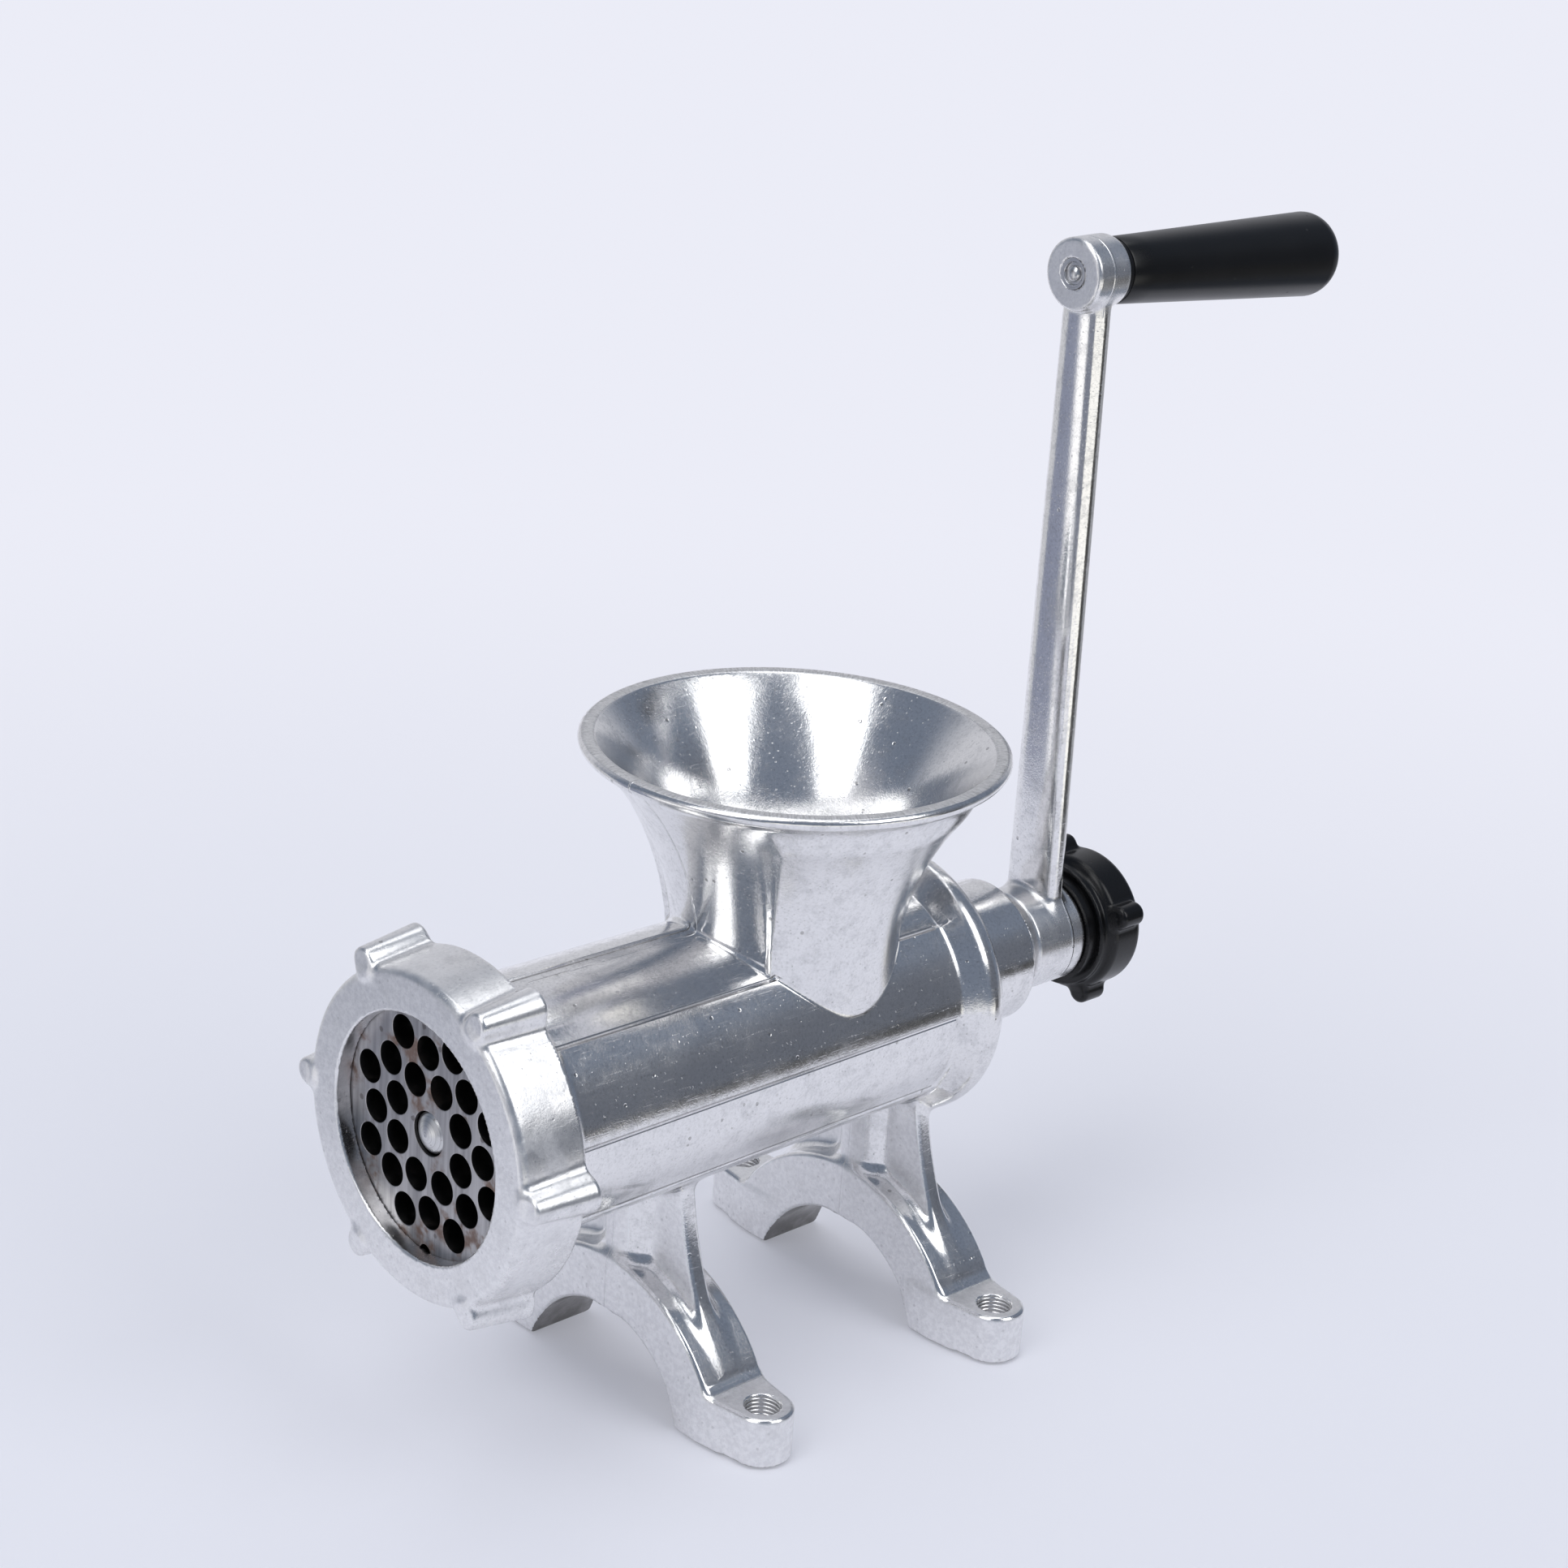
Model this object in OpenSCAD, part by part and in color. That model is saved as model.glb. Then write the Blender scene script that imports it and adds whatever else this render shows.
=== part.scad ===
// Hand cranked meat grinder with a cast body on two bolted arch feet.
// The barrel runs along Y: the plate end faces -Y, the crank is at +Y, and the
// feet stand on Z = 0 with the origin midway between the four bolt holes.

/* [Barrel] */
// Height of the barrel axis above the table
axis_z = 88.7; // [85:0.1:95]
// Barrel radius between the raised bands, behind the mouth
barrel_mouth_r = 31.7; // [31:0.1:33]
// Barrel radius between the raised bands, at the rear flange
barrel_rear_r = 30.7; // [30:0.1:33]
// Height of the raised bands along the barrel
band_rise = 0.9; // [0.4:0.1:1.5]
// Number of raised bands round the barrel
band_count = 4; // [3:1:5]
// Angle that one raised band covers
band_sweep = 45; // [30:1:50]
// Angle at which the first raised band starts
band_start = 5; // [0:1:10]
// Radius of the bore that the auger turns in
bore_r = 26.8; // [26:0.1:27.5]
// Front face of the body's mouth
mouth_y = -105.5; // [-106:0.1:-104]
// Radius of the thread on the mouth
spigot_r = 37.8; // [37.5:0.1:38.2]
// Rear end of the thread
spigot_rear_y = -96; // [-96.4:0.1:-95]
// Length of the flare from the barrel to the thread
flare_len = 8; // [5:0.5:12]
// Floor of the recess that holds the knife and the plate
recess_y = -96; // [-96.4:0.1:-95.6]
// Inner face of the rear wall
wall_y = 40; // [38:0.5:42]
// Radius of the rounded flange at the rear end
flange_r = 36.2; // [34:0.1:38]
// Length of the rear flange
flange_len = 11; // [9:0.5:13]
// Rear face of the flange
flange_rear_y = 51.5; // [50:0.5:53]
// Edge rounding of the flange
flange_round = 4.2; // [3:0.1:4.4]
// Outer radius of the rear neck
neck_r = 19.7; // [18:0.1:22]
// Rear end of the neck
neck_end_y = 78.7; // [76:0.1:79]
// Chamfer at the end of the neck
neck_chamfer = 1; // [0.5:0.1:2]

/* [Hopper] */
// Position of the hopper's axis along the barrel
hopper_y = 2; // [0:0.1:5]
// Top of the hopper rim
rim_z = 165.5; // [160:0.5:170]
// Outer radius of the rim
rim_r = 53.7; // [52:0.1:56]
// Inner radius of the rim
rim_in_r = 50.3; // [49:0.1:51]
// Height of the rim's edge
rim_h = 2.8; // [2:0.1:4]
// Height at which the hopper starts to flare
flare_z = 107; // [104:0.5:110]
// Radius of the throat down to the barrel
throat_r = 24.8; // [23:0.1:25.5]
// Outer radius of the hopper's foot, front and back
foot_r = 29.4; // [29:0.1:30]
// Curve of the flare, outside
flare_r = 80; // [76:1:84]
// Outer radius of the side pads where they run into the barrel
side_pad_r = 30.8; // [30.4:0.1:31.4]
// Curve of the side pads
side_pad_curve_r = 75; // [72:1:78]
// Angle that one side pad covers
side_pad_sweep = 100; // [80:1:110]
// Top of the side pads
side_pad_top_z = 157; // [150:0.5:158]

/* [Feet] */
// Spacing of the bolt holes across the barrel
bolt_x = 99.2; // [96:0.1:104]
// Spacing of the bolt holes along the barrel
bolt_y = 82.6; // [80:0.1:86]
// Diameter of the bolt holes
bolt_hole_d = 9; // [7:0.1:11]
// Depth of a foot along the barrel
foot_depth = 19.5; // [18:0.5:22]
// Radius of the rounded end of a bolt pad
pad_end_r = 8.2; // [7.5:0.1:9]
// Distance from the barrel's plane at which a bolt pad starts to narrow
pad_root_x = 37; // [35:0.5:40]
// Thickness of the bolt pads
pad_h = 14.2; // [12:0.1:16]
// Height of the centre of the arch, below the table
arch_z = -9; // [-11:0.5:-7]
// Outer radius of the arch
arch_out_r = 45.5; // [44:0.1:47]
// Inner radius of the arch
arch_in_r = 30.3; // [28:0.1:32]
// Radius of the pillar between arch and barrel
pillar_r = 8.5; // [7:0.1:10]
// Thickness of the web beside the pillar
web_t = 5; // [4:0.5:8]
// Half width of the web at its top
web_top_x = 16.8; // [15:0.1:20]
// Height of the top of the web
web_top_z = 75.4; // [72:0.1:78]
// Curve of the web's free edge
web_curve_r = 106; // [95:1:120]

/* [Ring nut] */
// Front face of the ring nut
ring_front_y = -114.1; // [-114.6:0.1:-113.6]
// Length of the ring nut
ring_len = 17.5; // [16.5:0.1:18.5]
// Outer radius at the front
ring_front_r = 41.6; // [41:0.1:43]
// Outer radius at the rear
ring_rear_r = 43.4; // [42.5:0.1:45]
// Radius of the opening
ring_open_r = 31; // [29:0.1:32]
// Thickness of the lip that holds the plate
ring_lip = 4.6; // [4:0.1:5]
// Chamfer on the front edge
ring_chamfer = 1.2; // [0.5:0.1:2]
// Number of lugs
lug_count = 6; // [4:1:8]
// Radius of a lug at the front
lug_front_r = 3.2; // [2.8:0.1:3.8]
// Radius of a lug at the rear
lug_rear_r = 5; // [4.2:0.1:5.6]
// Distance of the lug centres from the axis
lug_centre_r = 43.9; // [42:0.1:45]
// Clearance between ring nut and thread
ring_fit = 0.08; // [0.05:0.01:0.1]

/* [Plate and knife] */
// Radius of the grinding plate
plate_r = 35; // [34.6:0.1:35.2]
// Thickness of the grinding plate
plate_t = 8; // [7.5:0.1:8.5]
// Radius of the meat holes
hole_r = 4.2; // [3:0.1:4.4]
// Holes in each ring of holes
hole_count = 8; // [6:1:8]
// Radius of the inner ring of holes
hole_ring_in = 13.3; // [13:0.1:13.6]
// Radius of the middle ring of holes
hole_ring_mid = 20.7; // [20.4:0.1:21.2]
// Radius of the outer ring of holes
hole_ring_out = 25; // [24.8:0.1:25.4]
// Turn of the hole pattern
hole_turn = 25.6; // [20:0.1:30]
// Radius of the centre hole of the plate
plate_bore_r = 5.6; // [5.4:0.1:5.8]
// Clearance between plate and recess
plate_fit = 0.1; // [0.05:0.01:0.15]
// Radius of the pin that stops the plate turning
pin_r = 1.8; // [1.5:0.1:1.9]
// Radius of the notch in the plate round that pin
notch_r = 2.2; // [2.2:0.1:2.4]
// Distance from the axis to the round end of that notch
notch_end_r = 31.9; // [31.5:0.1:32.5]
// Reach of the knife's blades
knife_r = 31.5; // [29:0.1:32]
// Thickness of the knife
knife_t = 5; // [4.4:0.1:5.4]
// Radius of the knife's hub
knife_hub_r = 11; // [10:0.1:12]
// Width of a blade at the hub
blade_root_w = 11; // [9:0.1:12]
// Width of a blade at its tip
blade_tip_w = 7; // [5:0.1:9]
// Number of blades
blade_count = 4; // [3:1:5]
// Width of the square on the front stud
stud_square = 9; // [8:0.1:9.4]
// Radius of the stud in the plate
stud_r = 5.2; // [4.8:0.1:5.3]
// Radius of the dome on the end of the stud
stud_dome_r = 8; // [6:0.1:9]
// How far the stud stands out of the plate
stud_out = 1; // [0.5:0.1:2]
// Length of the stud inside the auger
stud_depth = 22; // [16:1:30]

/* [Auger] */
// Radius of the auger's core
core_r = 12.5; // [12:0.1:15]
// Radius of the auger's flight
flight_r = 25.8; // [25:0.1:26]
// Length along the axis of one turn of the flight
flight_pitch = 38; // [32:1:45]
// Angle that the flight covers in a cross section
flight_sweep = 70; // [50:1:100]
// Radius of the shaft in the neck
shaft_r = 11; // [10.8:0.1:12]
// Running clearance of the shaft in the neck
shaft_fit = 0.06; // [0.03:0.01:0.1]
// Radius of the thrust washer
thrust_r = 20; // [16:0.5:24]
// Thickness of the thrust washer
thrust_t = 2; // [1.5:0.1:3]

/* [Crank] */
// Crank radius from the barrel axis to the grip
crank_r = 185.5; // [160:0.5:200]
// Radius of the crank's hub
hub_r = 14.4; // [14:0.1:16]
// Front end of the crank's hub
hub_front_y = 79.9; // [79.4:0.1:80.5]
// Radius of the hub's collar beside the neck
hub_collar_r = 12.2; // [11.8:0.1:13]
// Place along the axis where the collar ends and the hub takes its full radius
hub_step_y = 84.6; // [83:0.1:86]
// Rear end of the crank's hub
hub_rear_y = 104.6; // [103:0.1:106]
// Width of the square that drives the crank
drive_square = 15; // [13:0.1:15.2]
// Clearance on each side of that square
drive_fit = 0.05; // [0.03:0.01:0.1]
// Width of the arm at the hub
arm_root_w = 17; // [14:0.1:19]
// Width of the arm at the boss
arm_tip_w = 11.6; // [10:0.1:14]
// Front face of the arm at the hub
arm_front_y = 94.5; // [93:0.1:95]
// Lean of the arm towards the plate end
arm_lean = 0.8; // [0:0.1:1]
// Thickness of the arm
arm_t = 6.2; // [5:0.1:7]
// Radius of the boss that carries the grip
boss_r = 9.5; // [9.2:0.1:11]
// Front face of the boss
boss_front_y = 88.4; // [86:0.1:90]
// Length of the boss
boss_len = 12.3; // [11.7:0.1:14]
// Droop of the grip below the barrel axis direction
grip_droop = 2.5; // [0:0.1:3]
// Radius of the grip's spindle
spindle_r = 4; // [3:0.1:4.5]
// Running clearance of the grip on its spindle
grip_fit = 0.06; // [0.03:0.01:0.1]
// Thickness of the washer between boss and grip
grip_washer_t = 1.8; // [1:0.1:2.5]
// Radius of that washer
grip_washer_r = 8.4; // [7:0.1:8.8]
// Radius of the grip beside the boss
grip_near_r = 8.7; // [8.5:0.1:10]
// Radius of the grip near its end
grip_far_r = 11.5; // [10.5:0.1:13]
// Length of the grip
grip_len = 84.5; // [75:0.5:95]
// Rounding of the grip's end
grip_round = 6.6; // [5:0.1:8]
// Radius of the spindle's head
spindle_head_r = 6.4; // [5.5:0.1:6.6]
// Thickness of the spindle's head
spindle_head_t = 3; // [2:0.1:4]
// Depth of the head below the end of the grip
spindle_head_in = 3; // [2:0.1:6]

/* [Clamp knob] */
// Radius of the knob between its lobes
knob_r = 19.4; // [18:0.1:21]
// Thickness of the knob
knob_t = 12; // [10:0.1:14]
// Number of lobes
lobe_count = 4; // [3:1:6]
// Angle of the first lobe
lobe_start = 22; // [0:1:60]
// Radius of a lobe
lobe_r = 3.3; // [2.8:0.1:4.2]
// Distance of the lobe centres from the axis
lobe_centre_r = 20.3; // [19:0.1:21]
// Edge rounding of the knob's rear
knob_round = 3; // [2:0.1:4]
// Radius of the washer between hub and knob
knob_washer_r = 15.6; // [14:0.1:16.5]
// Thickness of that washer
knob_washer_t = 3; // [2:0.1:4]
// Radius of the knob's front collar
collar_r = 17.4; // [17:0.1:18]
// Length of the knob's front collar
collar_len = 2.6; // [2:0.1:4]
// Radius of the clamp screw
screw_r = 4; // [3:0.1:4.5]
// Clearance round the clamp screw
screw_fit = 0.08; // [0.05:0.01:0.1]
// Reach of the clamp screw into the shaft
screw_reach = 20; // [14:1:22]
// Length of the clamp screw held in the knob
screw_grip = 9; // [7:0.5:10]

/* [Hidden] */
$fn = 96;

// Overlap that lets joined shapes run into each other
weld = 1;
// How far a curved wall runs past the straight wall that it meets
blend = 0.3;
// Overcut that clears a face in a cut
over = 1;
// How far straight sides run inside the round end that they lead into
side_in = 0.2;
// Slices of the flight in one turn
flight_slices = 24;
// Degrees in a full turn
full_turn = 360;

plate_front_y = ring_front_y + ring_lip;
plate_rear_y = plate_front_y + plate_t;
knife_rear_y = plate_rear_y + knife_t;
thrust_front_y = wall_y - thrust_t;
recess_r = plate_r + plate_fit;
pin_centre_r = plate_r;
flange_front_y = flange_rear_y - flange_len;
shaft_end_y = hub_rear_y - over;
boss_rear_y = boss_front_y + boss_len;
grip_start = boss_len / 2 + grip_washer_t;
knob_front_y = hub_rear_y + knob_washer_t;
boss_z = axis_z + crank_r;
boss_mid_y = boss_front_y + boss_len / 2;

// Puts a shape on the barrel axis with its +Z pointing at the plate end
module on_axis(y) {
    translate([0, y, axis_z])
        rotate([90, 0, 0])
            children();
}

// Round bar on the barrel axis between two places along it
module axis_bar(r, front_y, rear_y) {
    on_axis(rear_y)
        cylinder(r = r, h = rear_y - front_y);
}

// Square bar on the barrel axis between two places along it
module axis_square(w, front_y, rear_y) {
    on_axis((front_y + rear_y) / 2)
        cube([w, w, rear_y - front_y], center = true);
}

// Puts a shape on the grip's axis with its +Z running away from the boss
module on_grip_axis(along) {
    translate([0, boss_mid_y, boss_z])
        rotate([-90 - grip_droop, 0, 0])
            translate([0, 0, along])
                children();
}

// Flat shape drawn in X and Z, given a depth along Y
module upright(y, depth) {
    translate([0, y + depth / 2, 0])
        rotate([90, 0, 0])
            linear_extrude(height = depth)
                children();
}

// Rectangle with rounded outer corners at its full radius, for turning
module turned_block(r, h, round_r) {
    square([r - round_r, h]);
    translate([0, round_r])
        square([r, h - 2 * round_r]);
    for (z = [round_r, h - round_r])
        translate([r - round_r, z])
            circle(r = round_r);
}

// Everything outside a flare that starts upright at base_r and curves outwards
module flare_section(base_r, curve_r, top_z) {
    difference() {
        square([rim_r, top_z]);
        translate([base_r + curve_r - blend, flare_z])
            circle(r = curve_r, $fn = 180);
        translate([base_r, 0])
            square([rim_r, flare_z]);
    }
}

module hopper_outside() {
    translate([0, hopper_y, 0]) {
        rotate_extrude()
            difference() {
                flare_section(foot_r, flare_r, rim_z - rim_h + weld / 2);
                square([rim_r, axis_z]);
            }
        translate([0, 0, rim_z - rim_h])
            cylinder(r = rim_r, h = rim_h);
        for (side = [0, 180])
            rotate([0, 0, side - side_pad_sweep / 2])
                rotate_extrude(angle = side_pad_sweep)
                    difference() {
                        flare_section(side_pad_r, side_pad_curve_r, side_pad_top_z);
                        square([rim_r, axis_z]);
                    }
    }
}

module hopper_inside() {
    bowl_depth = rim_z - flare_z;
    bowl_gain = rim_in_r - throat_r;
    bowl_curve_r = (bowl_depth * bowl_depth + bowl_gain * bowl_gain) / (2 * bowl_gain);
    translate([0, hopper_y, 0])
        rotate_extrude()
            difference() {
                translate([0, axis_z])
                    square([rim_r - weld, rim_z - axis_z + over]);
                translate([throat_r + bowl_curve_r - blend, flare_z])
                    circle(r = bowl_curve_r, $fn = 180);
                translate([throat_r, 0])
                    square([rim_r, flare_z]);
            }
}

module barrel_outside() {
    front_y = spigot_rear_y;
    rear_y = flange_front_y + flange_round;
    len = rear_y - front_y;
    on_axis(rear_y)
        cylinder(r1 = barrel_rear_r, r2 = barrel_mouth_r, h = len);
    for (i = [0 : band_count - 1])
        on_axis(rear_y)
            rotate([0, 0, band_start + i * full_turn / band_count])
                rotate_extrude(angle = band_sweep)
                    polygon([[bore_r + weld, 0], [barrel_rear_r + band_rise, 0],
                             [barrel_mouth_r + band_rise, len], [bore_r + weld, len]]);
    axis_bar(spigot_r, mouth_y, spigot_rear_y);
    on_axis(spigot_rear_y + flare_len)
        cylinder(r1 = barrel_mouth_r - weld, r2 = spigot_r, h = flare_len);
    on_axis(flange_rear_y)
        rotate_extrude()
            turned_block(flange_r, flange_len, flange_round);
    axis_bar(neck_r, flange_rear_y - weld, neck_end_y - neck_chamfer);
    on_axis(neck_end_y)
        cylinder(r1 = neck_r - neck_chamfer, r2 = neck_r, h = neck_chamfer);
}

// Pad that narrows from the foot's depth to a round end about its bolt hole
module bolt_pad() {
    reach = bolt_x / 2 - pad_root_x;
    half = foot_depth / 2;
    side_r = pad_end_r - side_in;
    narrowing = acos(side_r / sqrt(reach * reach + half * half)) - atan2(reach, half);
    touch = [bolt_x / 2 + side_r * sin(narrowing), side_r * cos(narrowing)];
    linear_extrude(height = pad_h)
        polygon([[pad_root_x - weld, -half], [pad_root_x, -half], [touch[0], -touch[1]],
                 touch, [pad_root_x, half], [pad_root_x - weld, half]]);
    translate([bolt_x / 2, 0, 0])
        cylinder(r = pad_end_r, h = pad_h);
}

module foot(y) {
    upright(y, foot_depth)
        difference() {
            union() {
                translate([0, arch_z])
                    circle(r = arch_out_r, $fn = 180);
                translate([-pad_root_x, 0])
                    square([2 * pad_root_x, pad_h]);
            }
            translate([0, arch_z])
                circle(r = arch_in_r, $fn = 180);
            translate([-bolt_x, -bolt_x])
                square([2 * bolt_x, bolt_x]);
            for (side = [-1, 1])
                translate([side * bolt_x - bolt_x + side * pad_root_x, 0])
                    square([2 * bolt_x, pad_h]);
        }
    for (side = [0, 180])
        translate([0, y, 0])
            rotate([0, 0, side])
                bolt_pad();
    translate([0, y, arch_z + arch_in_r + weld])
        cylinder(r = pillar_r, h = axis_z - bore_r - weld - arch_z - arch_in_r);
    upright(y, web_t)
        difference() {
            translate([-arch_out_r, 0])
                square([2 * arch_out_r, web_top_z]);
            for (side = [-1, 1])
                translate([side * (web_top_x + web_curve_r), web_top_z])
                    circle(r = web_curve_r, $fn = 180);
            translate([0, arch_z])
                circle(r = arch_in_r + weld, $fn = 180);
            translate([-arch_out_r - over, 0])
                square([2 * arch_out_r + 2 * over, pad_h]);
        }
}

module grinder_body() {
    color("silver")
        difference() {
            union() {
                barrel_outside();
                hopper_outside();
                for (side = [-1, 1])
                    foot(side * bolt_y / 2);
            }
            hopper_inside();
            axis_bar(bore_r, recess_y - over, wall_y);
            axis_bar(recess_r, mouth_y - over, recess_y);
            axis_bar(shaft_r + shaft_fit, wall_y - over, neck_end_y + over);
            on_axis(recess_y)
                translate([0, -pin_centre_r, 0])
                    cylinder(r = pin_r, h = recess_y - mouth_y + over);
            for (x = [-1, 1], y = [-1, 1])
                translate([x * bolt_x / 2, y * bolt_y / 2, -over])
                    cylinder(d = bolt_hole_d, h = pad_h + 2 * over);
        }
}

module plate_pin() {
    color("gray")
        on_axis(recess_y)
            translate([0, -pin_centre_r, 0])
                cylinder(r = pin_r, h = recess_y - mouth_y);
}

module hole_ring(ring_r, turn) {
    for (i = [0 : hole_count - 1])
        rotate([0, 0, turn + i * full_turn / hole_count])
            translate([ring_r, 0, -over])
                cylinder(r = hole_r, h = plate_t + 2 * over);
}

module grinding_plate() {
    color("dimgray")
        on_axis(plate_rear_y)
            difference() {
                cylinder(r = plate_r, h = plate_t);
                hole_ring(hole_ring_in, hole_turn);
                hole_ring(hole_ring_mid, hole_turn - full_turn / hole_count / 2);
                hole_ring(hole_ring_out, hole_turn);
                translate([0, 0, -over])
                    cylinder(r = plate_bore_r, h = plate_t + 2 * over);
                translate([0, -notch_end_r, -over])
                    cylinder(r = notch_r, h = plate_t + 2 * over);
                translate([side_in - notch_r, -plate_r - over, -over])
                    cube([2 * (notch_r - side_in), plate_r + over - notch_end_r, plate_t + 2 * over]);
            }
}

module ring_nut() {
    color("silver")
        on_axis(ring_front_y + ring_len)
            difference() {
                union() {
                    cylinder(r1 = ring_rear_r, r2 = ring_front_r, h = ring_len - ring_chamfer);
                    translate([0, 0, ring_len - ring_chamfer])
                        cylinder(r1 = ring_front_r, r2 = ring_front_r - ring_chamfer, h = ring_chamfer);
                    for (i = [0 : lug_count - 1])
                        rotate([0, 0, i * full_turn / lug_count])
                            translate([lug_centre_r, 0, 0])
                                cylinder(r1 = lug_rear_r, r2 = lug_front_r, h = ring_len);
                }
                translate([0, 0, -over])
                    cylinder(r = spigot_r + ring_fit, h = ring_len - ring_lip + over);
                cylinder(r = ring_open_r, h = ring_len + over);
            }
}

module cross_knife() {
    color("lightgray")
        on_axis(knife_rear_y)
            linear_extrude(height = knife_t)
                difference() {
                    union() {
                        circle(r = knife_hub_r);
                        for (i = [0 : blade_count - 1])
                            rotate(i * full_turn / blade_count)
                                polygon([[0, -blade_root_w / 2], [knife_r, -blade_tip_w],
                                         [knife_r, 0], [0, blade_root_w / 2]]);
                    }
                    square(stud_square + 2 * drive_fit, center = true);
                }
}

module front_stud() {
    tip_y = plate_front_y - stud_out;
    bar_len = plate_rear_y - tip_y;
    color("gainsboro") {
        axis_square(stud_square, plate_rear_y, knife_rear_y + stud_depth);
        axis_bar(stud_square / 2 - weld / 2, plate_rear_y - weld, plate_rear_y + weld);
        on_axis(plate_rear_y)
            rotate_extrude()
                intersection() {
                    square([stud_r, bar_len]);
                    union() {
                        square([stud_r, bar_len - stud_dome_r]);
                        translate([0, bar_len - stud_dome_r])
                            circle(r = stud_dome_r);
                    }
                }
    }
}

module auger() {
    flight_len = thrust_front_y - knife_rear_y;
    color("silver")
        difference() {
            union() {
                axis_bar(core_r, knife_rear_y, thrust_front_y);
                on_axis(thrust_front_y)
                    linear_extrude(height = flight_len, twist = full_turn * flight_len / flight_pitch,
                                   slices = round(flight_slices * flight_len / flight_pitch), $fn = flight_slices)
                        flight_section();
                axis_bar(shaft_r, thrust_front_y - weld, neck_end_y);
                axis_square(drive_square, neck_end_y - weld, shaft_end_y);
            }
            axis_square(stud_square, knife_rear_y - over, knife_rear_y + stud_depth);
            axis_bar(screw_r + screw_fit, shaft_end_y - screw_reach - over, shaft_end_y + over);
        }
}

// Cross section of the single flight, a sector with its point inside the core
module flight_section() {
    steps = 8;
    polygon(concat([[0, 0]],
                   [for (i = [0 : steps])
                       flight_r * [cos(i * flight_sweep / steps), sin(i * flight_sweep / steps)]]));
}

module thrust_washer() {
    color("ivory")
        on_axis(wall_y)
            difference() {
                cylinder(r = thrust_r, h = thrust_t);
                translate([0, 0, -over])
                    cylinder(r = shaft_r + shaft_fit, h = thrust_t + 2 * over);
            }
}

module crank_arm() {
    color("silver")
        difference() {
            union() {
                axis_bar(hub_collar_r, hub_front_y, hub_step_y + neck_chamfer + weld);
                axis_bar(hub_r, hub_step_y + neck_chamfer, hub_rear_y);
                on_axis(hub_step_y + neck_chamfer)
                    cylinder(r1 = hub_r, r2 = hub_r - neck_chamfer, h = neck_chamfer);
                translate([0, arm_front_y + arm_t / 2, axis_z])
                    rotate([arm_lean, 0, 0])
                        upright(0, arm_t)
                            polygon([[-arm_root_w / 2, 0], [arm_root_w / 2, 0],
                                     [arm_tip_w / 2, crank_r], [-arm_tip_w / 2, crank_r]]);
                translate([0, boss_rear_y, boss_z])
                    rotate([90, 0, 0])
                        cylinder(r = boss_r, h = boss_len);
            }
            axis_square(drive_square + 2 * drive_fit, hub_front_y - over, hub_rear_y + over);
            on_grip_axis(-boss_len)
                cylinder(r = spindle_r, h = 2 * boss_len);
        }
}

module grip_spindle() {
    color("gainsboro") {
        on_grip_axis(-boss_len / 2)
            cylinder(r = spindle_r, h = boss_len / 2 + grip_start + grip_len - spindle_head_in - weld);
        on_grip_axis(grip_start + grip_len - spindle_head_in - spindle_head_t)
            cylinder(r = spindle_head_r, h = spindle_head_t);
    }
}

module grip_washer() {
    color("black")
        on_grip_axis(grip_start - grip_washer_t + boss_clear())
            difference() {
                cylinder(r = grip_washer_r, h = grip_washer_t - boss_clear());
                translate([0, 0, -over])
                    cylinder(r = spindle_r + grip_fit, h = grip_washer_t + 2 * over);
            }
}

// Room that the drooping washer needs to clear the boss face
function boss_clear() = grip_washer_r * sin(grip_droop);

module handle_grip() {
    straight_len = grip_len - grip_round;
    color("black")
        on_grip_axis(grip_start)
            difference() {
                union() {
                    cylinder(r1 = grip_near_r, r2 = grip_far_r, h = straight_len);
                    translate([0, 0, straight_len - 2 * grip_round])
                        rotate_extrude()
                            intersection() {
                                turned_block(grip_far_r, 3 * grip_round, grip_round);
                                translate([0, 2 * grip_round])
                                    square([grip_far_r, grip_round]);
                            }
                }
                translate([0, 0, -over])
                    cylinder(r = spindle_r + grip_fit, h = grip_len + 2 * over);
                translate([0, 0, grip_len - spindle_head_in - spindle_head_t])
                    cylinder(r = spindle_head_r + grip_fit, h = grip_len);
            }
}

module knob_washer() {
    color("black")
        on_axis(knob_front_y)
            difference() {
                cylinder(r = knob_washer_r, h = knob_washer_t);
                translate([0, 0, -over])
                    cylinder(r = screw_r + screw_fit, h = knob_washer_t + 2 * over);
            }
}

module clamp_knob() {
    rear_y = knob_front_y + collar_len + knob_t;
    lobe_set_back = knob_round + weld;
    color("black")
        difference() {
            union() {
                axis_bar(collar_r, knob_front_y, knob_front_y + collar_len + weld);
                on_axis(rear_y)
                    rotate_extrude()
                        intersection() {
                            turned_block(knob_r, 2 * knob_t, knob_round);
                            square([knob_r, knob_t]);
                        }
                for (i = [0 : lobe_count - 1])
                    on_axis(rear_y - lobe_set_back)
                        rotate([0, 0, lobe_start + i * full_turn / lobe_count])
                            translate([lobe_centre_r, 0, 0])
                                cylinder(r = lobe_r, h = knob_t - lobe_set_back - weld);
            }
            axis_bar(screw_r, knob_front_y - over, knob_front_y + screw_grip);
        }
}

module clamp_screw() {
    color("gainsboro")
        axis_bar(screw_r, shaft_end_y - screw_reach, knob_front_y + screw_grip);
}

grinder_body();
plate_pin();
grinding_plate();
ring_nut();
cross_knife();
front_stud();
auger();
thrust_washer();
crank_arm();
grip_spindle();
grip_washer();
handle_grip();
knob_washer();
clamp_knob();
clamp_screw();
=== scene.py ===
"""Looks of a hand cranked meat grinder: meshes, materials, floor, light and camera."""
import math

import bmesh
import bpy
import numpy as np
from mathutils import Matrix, Vector


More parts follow.
